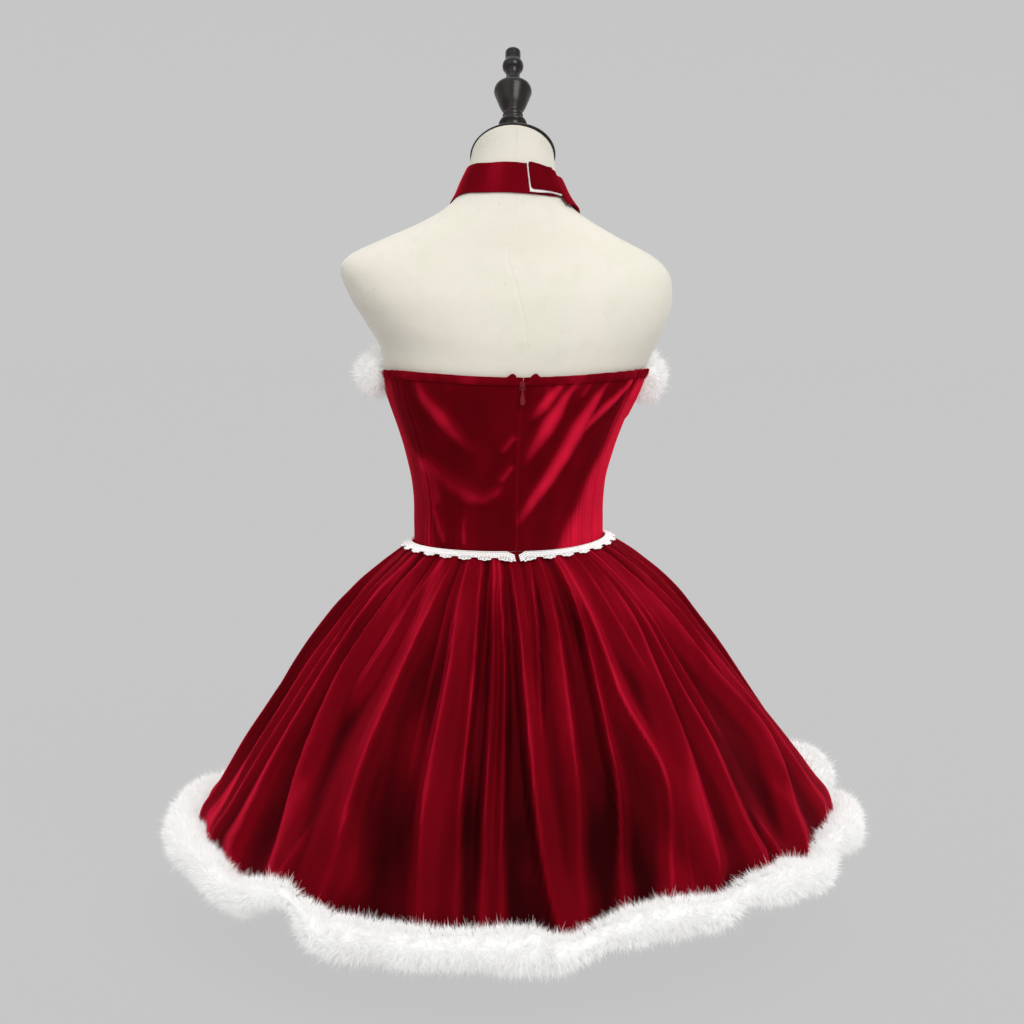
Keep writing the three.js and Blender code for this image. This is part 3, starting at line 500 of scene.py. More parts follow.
def skin(rings, closed=False):
    """A skin through rings of points, closed at both ends by a fan, or into a loop."""
    count, around = rings.shape[:2]
    index = np.arange(count * around).reshape(count, around)
    lower, upper = (index, np.roll(index, -1, 0)) if closed else (index[:-1], index[1:])
    quads = np.stack([lower, np.roll(lower, -1, 1), np.roll(upper, -1, 1), upper], -1).reshape(-1, 4)
    points, triangles = rings.reshape(-1, 3), NO_TRIANGLES
    if not closed:
        middles = np.stack([rings[0].mean(0), rings[-1].mean(0)])
        points = np.concatenate([points, middles])
        first, last = index[0], index[-1]
        fans = [
            np.stack([np.full(around, count * around), np.roll(first, -1), first], -1),
            np.stack([np.full(around, count * around + 1), last, np.roll(last, -1)], -1),
        ]
        triangles = np.concatenate(fans)
    return outward(Shell(points, quads, triangles, np.zeros((len(points), 2))))


def lathe(profile, sides):
    """A turned solid from its profile's radius and height, from one end of the axis to the other."""
    angle = np.linspace(0, 2 * math.pi, sides, endpoint=False)
    radius, height = np.array(profile, float).T
    ring = np.stack([np.cos(angle), np.sin(angle), np.zeros(sides)], -1)
    rings = radius[:, None, None] * ring + np.array([0, 0, 1]) * height[:, None, None]
    return skin(rings)


def rounded(profile, radius, steps=4):
    """A profile with each of its corners rounded."""
    points = [np.array(p, float) for p in profile]
    out = [points[0]]
    for before, corner, after in zip(points, points[1:], points[2:]):
        start, end = before - corner, after - corner
        near = min(radius, np.linalg.norm(start) / 2.1, np.linalg.norm(end) / 2.1)
        a = corner + start / np.linalg.norm(start) * near
        b = corner + end / np.linalg.norm(end) * near
        for t in np.linspace(0, 1, steps + 1):
            out.append(a * (1 - t) ** 2 + corner * 2 * t * (1 - t) + b * t * t)
    return out + [points[-1]]


def tube(path, radius, sides=6, closed=False):
    """A round tube along a path of points."""
    path = np.asarray(path, float)
    ahead = np.roll(path, -1, 0) - np.roll(path, 1, 0)
    if not closed:
        ahead[0], ahead[-1] = path[1] - path[0], path[-1] - path[-2]
    ahead /= np.linalg.norm(ahead, axis=1, keepdims=True)
    side = np.cross(ahead, [0.03, 0.05, 1.0])
    side /= np.linalg.norm(side, axis=1, keepdims=True)
    up = np.cross(side, ahead)
    angle = np.linspace(0, 2 * math.pi, sides, endpoint=False)[None, :, None]
    thick = np.broadcast_to(np.asarray(radius, float), len(path))[:, None, None]
    rings = path[:, None] + thick * (np.cos(angle) * side[:, None] + np.sin(angle) * up[:, None])
    return skin(rings, closed)


def piece(name, shell, material, body=BODY, sharp=50):
    """A shell made a Blender object that rides on a CAD body."""
    mesh = bpy.data.meshes.new(name)
    quads, triangles = shell.quads, shell.triangles
    corners = np.concatenate([quads.ravel(), triangles.ravel()]).astype(np.int32)
    starts = np.concatenate([
        np.arange(len(quads)) * 4, len(quads) * 4 + np.arange(len(triangles)) * 3
    ]).astype(np.int32)
    mesh.vertices.add(len(shell.points))
    mesh.vertices.foreach_set("co", (shell.points * MM).astype(np.float32).ravel())
    mesh.loops.add(len(corners))
    mesh.loops.foreach_set("vertex_index", corners)
    mesh.polygons.add(len(starts))
    mesh.polygons.foreach_set("loop_start", starts)
    mesh.update(calc_edges=True)
    layer = mesh.uv_layers.new(name="cut")
    layer.uv.foreach_set("vector", (shell.cut[corners] * MM).astype(np.float32).ravel())
    # The velvet's painted light and pile tone go on as a point attribute.
    if shell.nap is not None:
        mesh.attributes.new("nap", "FLOAT", "POINT").data.foreach_set("value", shell.nap.astype(np.float32))
    mesh.shade_smooth()
    mesh.set_sharp_from_angle(angle=math.radians(sharp))
    mesh.materials.append(material)
    thing = bpy.data.objects.new(name, mesh)
    bpy.context.scene.collection.objects.link(thing)
    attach(thing, body)
    return thing


class Tree:
    """Adds and links the nodes of a shader or geometry tree."""

    def __init__(self, tree):
        self.tree = tree

    def add(self, kind, inputs=None, **settings):
        node = self.tree.nodes.new(kind)
        for name, value in settings.items():
            setattr(node, name, value)
        for key, value in (inputs or {}).items():
            if isinstance(value, bpy.types.NodeSocket):
                self.tree.links.new(value, node.inputs[key])
            else:
                node.inputs[key].default_value = value
        return node

    def place(self):
        """The place on the piece, in the frame's own metres."""
        return self.add("ShaderNodeTexCoord").outputs["Object"]

    def cut(self):
        """The place on the flat cut of a piece of cloth."""
        return self.add("ShaderNodeUVMap", uv_map="cut").outputs[0]

    def noise(self, where, scale, detail=2.0, **more):
        inputs = {"Vector": where, "Scale": scale, "Detail": detail, **more}
        return self.add("ShaderNodeTexNoise", inputs).outputs["Fac"]

    def stretched(self, where, scale):
        return self.add("ShaderNodeMapping", {"Vector": where, "Scale": scale}).outputs[0]

    def ramp(self, fac, *stops):
        """A colour ramp with a stop for each (place, colour)."""
        node = self.add("ShaderNodeValToRGB", {"Fac": fac})
        elements = node.color_ramp.elements
        while len(elements) < len(stops):
            elements.new(0.5)
        for element, (place, colour) in zip(elements, stops):
            element.position = place
            element.color = (*colour, 1) if len(colour) == 3 else colour
        return node.outputs[0]

    def mix(self, fac, a, b, blend="MIX"):
        node = self.add("ShaderNodeMix", data_type="RGBA", blend_type=blend)
        for socket, value in zip((node.inputs[0], node.inputs[6], node.inputs[7]), (fac, a, b)):
            if isinstance(value, bpy.types.NodeSocket):
                self.tree.links.new(value, socket)
            else:
                socket.default_value = value
        return node.outputs[2]

    def bump(self, height, distance, strength=1.0, under=None):
        inputs = {"Height": height, "Distance": distance, "Strength": strength}
        if under is not None:
            inputs["Normal"] = under
        return self.add("ShaderNodeBump", inputs).outputs[0]

    def vector(self, operation, inputs):
        return self.add("ShaderNodeVectorMath", inputs, operation=operation).outputs[0]

    def finished(self, geometry, material):
        """Ends a geometry tree: sets the material and gives the geometry out."""
        painted = self.add("GeometryNodeSetMaterial", {"Geometry": geometry, "Material": material})
        self.add("NodeGroupOutput", {0: painted.outputs[0]})

    def sum(self, a, b, operation="ADD"):
        return self.add("ShaderNodeMath", {0: a, 1: b}, operation=operation).outputs[0]


def finish(name):
    """Turns a function that builds a finish into one that gives its material, built only once."""
    def wrap(build):
        def material():
            found = bpy.data.materials.get(name)
            if found:
                return found
            made = bpy.data.materials.new(name)
            made.use_nodes = True
            build(Tree(made.node_tree), made.node_tree.nodes["Principled BSDF"])
            return made

        return material

    return wrap


def times(colour, *by):
    """A colour made lighter or darker, by one factor or by one for each channel."""
    return tuple(c * k for c, k in zip(colour, by * 3 if len(by) == 1 else by))


def set_inputs(shader, **values):
    for name, value in values.items():
        shader.inputs[name.replace("_", " ")].default_value = value


def wire(tree, shader, colour=None, rough=None, normal=None):
    for name, socket in (("Base Color", colour), ("Roughness", rough), ("Normal", normal)):
        if socket is not None:
            tree.tree.links.new(socket, shader.inputs[name])


@finish("velvet_pile")
def velvet(tree, shader):
    looks = bpy.context.scene.dress_velvet
    cut = tree.cut()
    # Painted highlights on crests and flanks and painted shade in valleys, from a point attribute, over
    # pile tone.
    pile_and_painted_light = tree.add("ShaderNodeAttribute", attribute_name="nap").outputs["Fac"]
    brushed = tree.noise(tree.stretched(cut, (26, 7, 1)), 1.0, 2.0, Distortion=0.3)
    pile = tree.noise(cut, 2600, 1.0)
    shade = tree.sum(tree.sum(pile_and_painted_light, 0.5, "MULTIPLY"), tree.sum(brushed, 0.45, "MULTIPLY"))
    colour = tree.ramp(
        tree.sum(shade, 0.275),
        (0.0, tuple(looks.painted_valley_shade)), (0.5, tuple(looks.colour)), (1.0, tuple(looks.crest)),
    )
    wire(tree, shader, colour, normal=tree.bump(pile, 0.0004, 0.3, tree.bump(brushed, 0.003, 0.2)))
    set_inputs(
        shader, Roughness=0.75, Sheen_Weight=looks.sheen_weight, Sheen_Roughness=0.3,
        Sheen_Tint=(*looks.sheen, 1), Specular_IOR_Level=0.02,
    )


@finish("fur_pile")
def fur(tree, shader):
    looks = bpy.context.scene.dress_fur
    place = tree.place()
    tint = tree.noise(place, 55, 2.0)
    pale = tuple(looks.colour)
    shade = times(pale, 0.95, 0.945, 0.94)
    wire(tree, shader, tree.ramp(tint, (0.35, shade), (0.6, pale)))
    # A painted glow: the fur's emission keeps the pile bright inside, in place of light scattered from hair
    # to hair.
    set_inputs(
        shader, Roughness=0.85, Sheen_Weight=0.3, Sheen_Roughness=0.5, Specular_IOR_Level=0.1,
        Emission_Color=(1, 0.995, 0.985, 1), Emission_Strength=0.125,
    )


@finish("cotton_yarn")
def lace(tree, shader):
    looks = bpy.context.scene.dress_lace
    place = tree.place()
    twist = tree.noise(place, 1900, 2.0)
    pale = tuple(looks.colour)
    colour = tree.ramp(twist, (0.3, times(pale, 0.86)), (0.62, pale))
    wire(tree, shader, colour, normal=tree.bump(twist, 0.0004, 0.6))
    # A painted glow: the yarn's emission brightens it beyond its lighting.
    set_inputs(shader, Roughness=0.8, Sheen_Weight=0.2, Emission_Color=(1, 1, 1, 1), Emission_Strength=0.14)


@finish("form_canvas")
def canvas(tree, shader):
    looks = bpy.context.scene.dress_form
    place = tree.place()
    blotch = tree.noise(place, 7, 3.0, Distortion=0.4)
    fine = tree.noise(place, 60, 3.0)
    pale = tuple(looks.canvas)
    cool = times(pale, 0.97, 0.99, 0.955)
    warm = times(pale, 1.015, 1.005, 0.985)
    colour = tree.ramp(blotch, (0.3, cool), (0.5, pale), (0.7, warm))
    dust = tree.ramp(fine, (0.25, (0.97, 0.965, 0.955)), (0.5, (1, 1, 1)))
    colour = tree.mix(1.0, colour, dust, "MULTIPLY")
    cells = tree.add("ShaderNodeTexVoronoi", {"Vector": place, "Scale": 38.0})
    speck = tree.ramp(cells.outputs["Distance"], (0.028, (0.62, 0.55, 0.45)), (0.055, (1, 1, 1)))
    colour = tree.mix(0.3, colour, tree.mix(1.0, colour, speck, "MULTIPLY"))
    threads = [
        tree.add("ShaderNodeTexWave", {"Vector": place, "Scale": 310.0, "Distortion": 0.8, "Detail": 1.0},
                 bands_direction=direction).outputs["Fac"]
        for direction in ("DIAGONAL", "Z")
    ]
    weave = tree.bump(tree.sum(*threads), 0.00025, 0.45)
    wire(tree, shader, colour, normal=tree.bump(blotch, 0.003, 0.3, weave))
    set_inputs(shader, Roughness=0.85, Sheen_Weight=0.5, Sheen_Roughness=0.45, Specular_IOR_Level=0.3)


@finish("turned_lacquer")
def lacquer(tree, shader):
    looks = bpy.context.scene.dress_form
    place = tree.place()
    grain = tree.noise(tree.stretched(place, (90, 90, 9)), 1.0, 4.0, Distortion=1.0)
    dark = tuple(looks.lacquer)
    colour = tree.ramp(grain, (0.35, dark), (0.75, times(dark, 3.4, 2.6, 2.2)))
    rough = tree.add("ShaderNodeMapRange", {"Value": grain, "To Min": 0.2, "To Max": 0.36}).outputs[0]
    wire(tree, shader, colour, rough, tree.bump(grain, 0.0006, 0.35))
    set_inputs(shader, Coat_Weight=0.12, Coat_Roughness=0.2, Specular_IOR_Level=0.25)


@finish("powder_coat")
def powder_coat(tree, shader):
    looks = bpy.context.scene.dress_form
    place = tree.place()
    orange_peel = tree.noise(place, 900, 2.0)
    dark = tuple(looks.stand)
    colour = tree.ramp(orange_peel, (0.3, dark), (0.7, times(dark, 1.6)))
    wire(tree, shader, colour, normal=tree.bump(orange_peel, 0.0003, 0.5))
    set_inputs(shader, Roughness=0.42, Metallic=0.1)


@finish("zip_enamel")
def enamel(tree, shader):
    place = tree.place()
    worn = tree.noise(place, 1200, 3.0)
    colour = tree.ramp(worn, (0.35, (0.14, 0.003, 0.010)), (0.75, (0.26, 0.008, 0.022)))
    wire(tree, shader, colour, normal=tree.bump(worn, 0.0001, 0.4))
    set_inputs(shader, Roughness=0.4, Metallic=0.1, Specular_IOR_Level=0.3)


@finish("woven_hook_tape")
def hook_tape(tree, shader):
    cut = tree.cut()
    hooks = tree.noise(cut, 1600, 1.0)
    colour = tree.ramp(hooks, (0.3, (0.74, 0.62, 0.62)), (0.6, (0.93, 0.88, 0.88)))
    wire(tree, shader, colour, normal=tree.bump(hooks, 0.0005, 0.8))
    set_inputs(shader, Roughness=0.7)


@finish("backdrop_paper")
def backdrop_paper(tree, shader):
    looks = bpy.context.scene.dress_stage
    place = tree.place()
    tooth = tree.noise(place, 3, 2.0)
    pale = tuple(looks.paper)
    wire(tree, shader, tree.ramp(tooth, (0.3, times(pale, 0.98)), (0.7, pale)))
    set_inputs(shader, Roughness=1.0, Specular_IOR_Level=0.0, Emission_Color=(1, 1, 1, 1))
    shader.inputs["Emission Strength"].default_value = looks.paper_glow


def colour_property(name, description, default):
    return bpy.props.FloatVectorProperty(
        name=name, description=description, default=default, subtype="COLOR", min=0, max=1
    )


def number_property(name, description, default):
    return bpy.props.FloatProperty(name=name, description=description, default=default, min=0)


def length_property(name, description, default):
    return bpy.props.FloatProperty(
        name=name, description=description, default=default, subtype="DISTANCE", unit="LENGTH", min=0
    )


class DressVelvet(bpy.types.PropertyGroup):
    colour: colour_property("Colour", "Velvet between its folds", (0.165, 0.0008, 0.0055))
    # Painted highlight: the velvet's colour on fold crests and lit flanks.
    crest: colour_property("Crest", "Velvet on the crests of its folds", (0.72, 0.010, 0.042))
    # Painted shade: the velvet's colour deep in its folds and on steep sides.
    painted_valley_shade: colour_property("Valley", "Velvet deep between its folds", (0.022, 0.0001, 0.0008))
    sheen: colour_property("Sheen", "Tint of the pile's sheen", (1.0, 0.010, 0.06))
    sheen_weight: bpy.props.FloatProperty(
        name="Sheen weight", description="How much the pile glows at its edges", default=1.0, min=0, max=1
    )
    stitch_pitch: length_property("Stitch pitch", "From one stitch to the next", 0.0026)


class DressFur(bpy.types.PropertyGroup):
    colour: colour_property("Colour", "Fur", (0.88, 0.878, 0.872))
    pile: length_property("Pile", "Length of the fur from its backing", 0.0135)
    hair: length_property("Hair width", "Width of a lock of hair", 0.00055)
    guard: length_property("Guard hair", "Length of the few longer hairs", 0.0195)
    guard_density: number_property("Guard density", "Tufts of longer hairs on each square metre", 26000)
    hem_density: number_property("Hem density", "Tufts on each square metre at the hem", 82000)
    neck_density: number_property("Neckline density", "Tufts on each square metre at the neckline", 82000)
    seed: bpy.props.IntProperty(name="Seed", description="Start of the fur's random draws", default=7)


class DressLace(bpy.types.PropertyGroup):
    colour: colour_property("Colour", "Cotton yarn", (0.93, 0.925, 0.91))
    yarn: length_property("Yarn", "Radius of the yarn", 0.00055)


class DressForm(bpy.types.PropertyGroup):
    canvas: colour_property("Canvas", "Cover of the form", (0.80, 0.765, 0.665))
    lacquer: colour_property("Lacquer", "Cap and finial", (0.007, 0.006, 0.006))
    stand: colour_property("Stand", "Base and pole", (0.016, 0.016, 0.018))


class DressStage(bpy.types.PropertyGroup):
    paper: colour_property("Paper", "Floor and backdrop", (0.03, 0.03, 0.03))
    paper_glow: number_property("Paper glow", "Light that the lit backdrop gives back", 0.535)
    key: number_property("Key", "Strength of the main light", 1.6)
    fill: number_property("Fill", "Strength of the second light", 0.6)
    low: number_property("Low", "Strength of the light from low down", 0.4)
    top: number_property("Top", "Strength of the light overhead", 0.5)
    sky: number_property("Sky", "Strength of the light all round", 0.42)


class DressOperator:
    """What the operators share: each builds its pieces at once and can't be cancelled."""

    bl_options = {"REGISTER", "UNDO"}

    def execute(self, context):
        self.build(context)
        return {"FINISHED"}


class DRESS_OT_form(DressOperator, bpy.types.Operator):
    """Padded canvas torso with its turned cap and finial"""

    bl_idname = "dress.form"
    bl_label = "Dress form"

    def build(self, context):
        near_seam = np.array([0.25, 0.5, 0.9, 1.6, 2.6])
        regular = np.arange(5, 176, 2.5)
        half = np.concatenate([[0], near_seam, regular, 180 - near_seam[::-1], [180]])
        turns = np.concatenate([half, 360 - half[1:-1][::-1]])
        bottom_edge = [FORM_BOTTOM, 190.8, 192.5, 196]
        levels = np.concatenate([bottom_edge, np.linspace(202, NECK_TOP, 120)])
        turn, level = np.meshgrid(turns, levels)
        rings = form_point(turn, level, BUST["depth"] - BUST["ease"])
        # The cover's seams are fine valleys down the centre back and front.
        seam = hump(turn_between(turn, 0), 0.8) + hump(turn_between(turn, 180), 0.8)
        swell = hump(np.abs(turn_between(turn, 0)) - 1.4, 1.2) * 0.12
        rings = rings + normal_of(form_point, turn, level) * (swell - 0.45 * seam)[..., None]
        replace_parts(piece(FORM, skin(rings), canvas()), "form_torso")

        middle = column(FORM_SECTIONS, "centre", NECK_TOP)
        seat = Vector((column(FORM_SECTIONS, "shift", NECK_TOP), middle, NECK_TOP + middle * NECK_TILT))
        lean = Vector((-NECK_LEAN, -NECK_TILT, 1)).normalized()
        turned = Vector((0, 0, 1)).rotation_difference(lean).to_matrix()

        def seated(shell):
            shell.points = shell.points @ np.array(turned).T + np.array(seat)
            return shell

        cap_top = CAP_HEIGHT + SEAM_GAP
        cap = rounded([
            (0, SEAM_GAP), (CAP_RADIUS - 1, SEAM_GAP), (CAP_RADIUS, 1.6), (CAP_RADIUS - 0.5, 3.3),
            (CAP_RADIUS - 7, 6), (CAP_RADIUS - 22, cap_top), (0, cap_top),
        ], 3)
        disc = lathe(cap, 96)
        disc.points[:, 1] *= CAP_OVAL
        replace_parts(piece("turned_cap", seated(disc), lacquer(), sharp=35), "neck_cap")
        start = cap_top + SEAM_GAP
        along = np.unique(np.concatenate([
            np.linspace(a, b, 5) for a, b in zip(FINIAL_PROFILE["along"], FINIAL_PROFILE["along"][1:])
        ]))
        radius = column(FINIAL_PROFILE, "radius", along)
        outline = [(0.0, start), *zip(radius, along + start), (radius[-1] - 2, along[-1] + start + 0.6)]
        outline.append((0.0, outline[-1][1]))
        turned_shell = seated(lathe(outline, 64))
        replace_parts(piece("turned_finial", turned_shell, lacquer(), sharp=40), "finial")


class DRESS_OT_stand(DressOperator, bpy.types.Operator):
    """Round base, pole and flange under the form"""

    bl_idname = "dress.stand"
    bl_label = "Stand"

    def build(self, context):
        pole_top = FORM_BOTTOM - FLANGE_HEIGHT
        base = [
            (0, 0), (BASE_RADIUS - 4, 0), (BASE_RADIUS, 4), (BASE_RADIUS, BASE_HEIGHT - 4),
            (BASE_RADIUS - 4, BASE_HEIGHT - 1), (FLANGE_RADIUS, BASE_HEIGHT), (0, BASE_HEIGHT),
        ]
        pole = [(0, BASE_HEIGHT), (POLE_RADIUS, BASE_HEIGHT), (POLE_RADIUS, pole_top), (0, pole_top)]
        flange = [
            (0, pole_top), (FLANGE_RADIUS - 4, pole_top), (FLANGE_RADIUS, pole_top + 4),
            (FLANGE_RADIUS, FORM_BOTTOM), (0, FORM_BOTTOM),
        ]
        for name, profile, round_by, node in (
            ("round_base", base, 1.6, "stand_base"),
            ("pole", pole, 0.4, "stand_pole"),
            ("flange", flange, 1.2, "stand_flange"),
        ):
            shell = lathe(rounded(profile, round_by), 96)
            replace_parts(piece(name, shell, powder_coat(), sharp=30), node)


def drag(turn, level):
    """How far the bodice's cloth stands out along its soft drag folds."""
    most = np.zeros(np.broadcast(turn, level).shape)
    for number in np.unique(DRAG_FOLDS["fold"]):
        fold = {name: values[DRAG_FOLDS["fold"] == number] for name, values in DRAG_FOLDS.items()}
        across, up = fold["turn"] * TURN_STEP, fold["level"]
        for i in range(len(up) - 1):
            dx, dy = across[i + 1] - across[i], up[i + 1] - up[i]
            away = turn_between(turn, fold["turn"][i]) * TURN_STEP
            t = np.clip((away * dx + (level - up[i]) * dy) / (dx * dx + dy * dy), 0, 1)
            distance = np.hypot(away - dx * t, level - up[i] - dy * t)
            wide, depth = (fold[name][i] * (1 - t) + fold[name][i + 1] * t for name in ("wide", "depth"))
            most = np.maximum(most, depth * hump(distance, wide))
    return most


def bodice_folds(turn, level):
    """The bodice's drag folds, with the gathers under its casing and the puckers over its waist."""
    from_top = top_edge(turn) - level
    side = turn_between(turn, 0)
    in_back = smooth((78 - np.abs(side)) / 14) * smooth(np.abs(side) / 12)
    tight = in_back * np.where(side < 0, 1.5, 0.5) * smooth((44 - from_top) / 40)
    gathers = tight * ripple(side / 6.4 + 0.3 * np.sin(side / 9) + from_top * 0.004)
    pucker = smooth((np.abs(side) - 24) / 10) * smooth((70 + WAIST - level) / 60)
    # The cloth's edges either side of the zip stand up as soft lips, the left one more.
    lips = 1.4 * hump(side - 0.4, 0.9) + 0.9 * hump(side + 0.6, 0.9)
    return drag(turn, level) + gathers + 0.9 * pucker * ripple(side / 4.6 + 0.2) + lips


def bodice_relief(turn, level):
    """How far the bodice stands out: its folds, a soft unevenness, and the valleys of its seams."""
    side = turn_between(turn, 0)
    uneven = 0.5 * smooth((level - WAIST) / 30) * (1 + crumple(side / 34, level / 46, 3))
    out = bodice_folds(turn, level) + uneven
    for panel in PANELS[1:]:
        away = turn_between(turn, panel["from"])
        out = out - 1.0 * hump(away, 1.3) + 0.5 * hump(np.abs(away) - 2.3, 1.7)
    return out


def bodice_nap_and_painted_light(turn, level):
    """Painted light on the bodice's velvet: highlights on its folds and in streaks over its flanks, darker
    between.
    """
    side = turn_between(turn, 0)
    # Painted highlights on the folds, and in streaks over the flanks, the wearer's right one brighter.
    folds = bodice_folds(turn, level) * np.where(side < 0, 0.3, 0.2)
    highlight_streaks = 0.72 + 0.36 * ripple(side / 3.3 + 0.3 * np.sin(side / 7) + level * 0.002)
    right = 1.3 * highlight_streaks * smooth((column(PAINTED_FLANK_HIGHLIGHTS, "right", level) - side) / 14) * smooth((130 + side) / 30)
    left = 0.62 * highlight_streaks * smooth((side - column(PAINTED_FLANK_HIGHLIGHTS, "left", level)) / 9) * smooth((130 - side) / 30)
    # Random patches of pile tone.
    patches = 0.09 * crumple(side / 13, level / 34, 43)
    return np.clip(folds + left + right + patches - 0.31, -1, 1)


def bodice_level(turn, t):
    bottom = WAIST + waist_lift(turn)
    return bottom + (top_edge(turn) - bottom) * t


def bodice_point(turn, t, out):
    level = bodice_level(turn, t)
    return off_form(turn, level, CLOTH_CLEAR + bodice_relief(turn, level) + out)


class DRESS_OT_bodice(DressOperator, bpy.types.Operator):
    """Five velvet panels of the bodice, and the casing along the back's top edge"""

    bl_idname = "dress.bodice"
    bl_label = "Bodice"

    def build(self, context):
        heights = np.linspace(0, 1, 68)
        near = np.array([0.12, 0.5, 0.9, 1.4, 2.0, 2.7, 3.4])
        for panel in PANELS:
            first, last = panel["from"], panel["to"]
            count = int((last - first - 8) / 1.25)
            middle = np.linspace(first + 4, last - 4, count)
            turns = np.concatenate([first + near, middle, last - near[::-1]])
            turn, t = np.meshgrid(turns, heights)
            level = bodice_level(turn, t)
            nap = bodice_nap_and_painted_light(turn, level)
            shell = wall(bodice_point(turn, t, CLOTH), bodice_point(turn, t, 0), nap)
            thing = piece(panel["name"] + "_velvet", shell, velvet())
            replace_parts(thing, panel["name"])
        self.casings()

    def casings(self):
        """The turned top edge, with small ears beside the zip and soft bunches at the side corners."""
        zip_gap, end = 1.6, 76
        for name, sign in (("casing_left", 1), ("casing_right", -1)):
            turns = sign * np.unique(np.concatenate([np.arange(zip_gap, 8, 0.3), np.arange(8, end, 0.7)]))
            turn, t = np.meshgrid(turns, np.linspace(0, 1, 9))
            ear = hump(np.abs(turn) - 4.8, 2.8)
            notch = smooth((3.4 - np.abs(turn)) / 1.6)
            corner = smooth((np.abs(turn) - 56) / 12)
            bunch = (0.35 + 2.0 * corner) * ripple(turn / 3.4 + 0.35 * np.sin(turn / 5) + 0.15 * t)
            crown = 0.5 + 0.9 * np.sin(math.pi * np.clip(t, 0.02, 0.98))
            puff = crown + bunch * (0.3 + 0.7 * t) + 1.8 * ear * t
            rise = 4.2 * ear - 5.5 * notch + 2.8 * corner * ripple(turn / 4)
            level = top_edge(turn) - CASING_DEPTH * (1 - t) + rise * t
            base = CLOTH_CLEAR + CLOTH + 0.2 + bodice_relief(turn, level)
            outer = off_form(turn, level, base + puff + 0.4)
            inner = off_form(turn, level, base - 0.1)
            thing = piece(name + "_velvet", wall(outer, inner), velvet())
            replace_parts(thing, name)


def skirt_folds():
    """Every fold of the skirt: those charted at the back, and like ones at the front."""
    folds = rows_of(BACK_FOLDS)
    rng = np.random.default_rng(21)
    for turn in np.arange(FRONT_FOLDS["from"], FRONT_FOLDS["to"], FRONT_FOLDS["pitch"]):
        sway = np.cumsum(rng.uniform(-1.2, 1.2, len(FOLD_DOWN)))
        track = dict(zip(TRACK, turn + sway))
        left, right = FRONT_FOLDS["wide"] * rng.uniform(0.4, 1.15, 2)
        deep = rng.uniform(0.8, 1.2)
        depths = {"depth": FRONT_FOLDS["depth"] * deep, "foot": FRONT_FOLDS["foot"] * deep}
        folds.append({**track, **depths, "left": left, "right": right, "start": 0, "end": 2})
    return folds


def minor_folds():
    """Shorter folds between the long ones, each of its own width, depth and length."""
    rng = np.random.default_rng(8)
    tops = np.sort([fold["upper"] for fold in skirt_folds() if fold["start"] == 0])
    gaps = np.append(np.diff(tops), tops[0] + 360 - tops[-1])
    return [
        {
            "turn": turn + gap * rng.uniform(0.4, 0.6),
            "drift": rng.uniform(-2, 2),
            "wide": gap * rng.uniform(0.16, 0.3),
            "depth": rng.uniform(3, 6),
            "reach": rng.uniform(0.3, 0.7),
        }
        for turn, gap in zip(tops, gaps)
    ]


def folds_at(turn, level):
    """How far the skirt's gathers stand out, and nearness to a fold's ridge line, which gets a painted
    highlight.
    """
    turn, level = np.broadcast_arrays(np.asarray(turn, float), np.asarray(level, float))
    down = (WAIST - level) / (WAIST - HEM_LEVEL)
    rise = 0.12 + 0.88 * smooth(down / 0.25)
    low = smooth((down - 0.5) / 0.5)
    # Summed as fourth powers, neighbouring folds meet in a rounded valley.
    total, line = np.zeros(turn.shape), np.zeros(turn.shape)
    for fold in skirt_folds():
        track = {"down": np.array(FOLD_DOWN), "turn": np.array([fold[name] for name in TRACK])}
        away = turn_between(turn, column(track, "turn", down))
        wide = np.where(away > 0, fold["left"], fold["right"])
        stretch = smooth((down - fold["start"]) / 0.14 + (fold["start"] == 0))
        stretch = stretch * smooth((fold["end"] - down) / 0.2)
        depth = (fold["depth"] * rise * (1 - low) + fold["foot"] * low) * stretch
        total += (crest(away, wide) * depth) ** 4
        # Near the ridge line the velvet gets a thin painted highlight.
        line = np.maximum(line, hump(away, 0.85) * stretch)
    for fold in minor_folds():
        depth = fold["depth"] * (0.1 + 0.9 * smooth(down / 0.2)) * smooth((fold["reach"] - down) / 0.3)
        away = turn_between(turn, fold["turn"] + fold["drift"] * down)
        total += (crest(away, fold["wide"]) * depth) ** 4
        line = np.maximum(line, MINOR_PAINTED_HIGHLIGHT * hump(away, 0.7) * smooth((fold["reach"] - down) / 0.3))
    gathers = 1.7 * smooth(down / 0.07) * (1 - smooth((down - 0.08) / 0.25))
    soft = smooth(down / 0.25) * smooth((1.02 - down) / 0.2)
    out = total ** 0.25 + gathers * ripple(turn / 5 + 0.45 * np.sin(np.radians(turn) * 9))
    taken_in = FOLDS_IN * smooth(down / 0.2) * smooth((1 - down) / 0.2)
    return out + 2.0 * soft * crumple(turn / 18, down * 3.2, 5) - taken_in, line


def fold_out(turn, level):
    return folds_at(turn, level)[0]


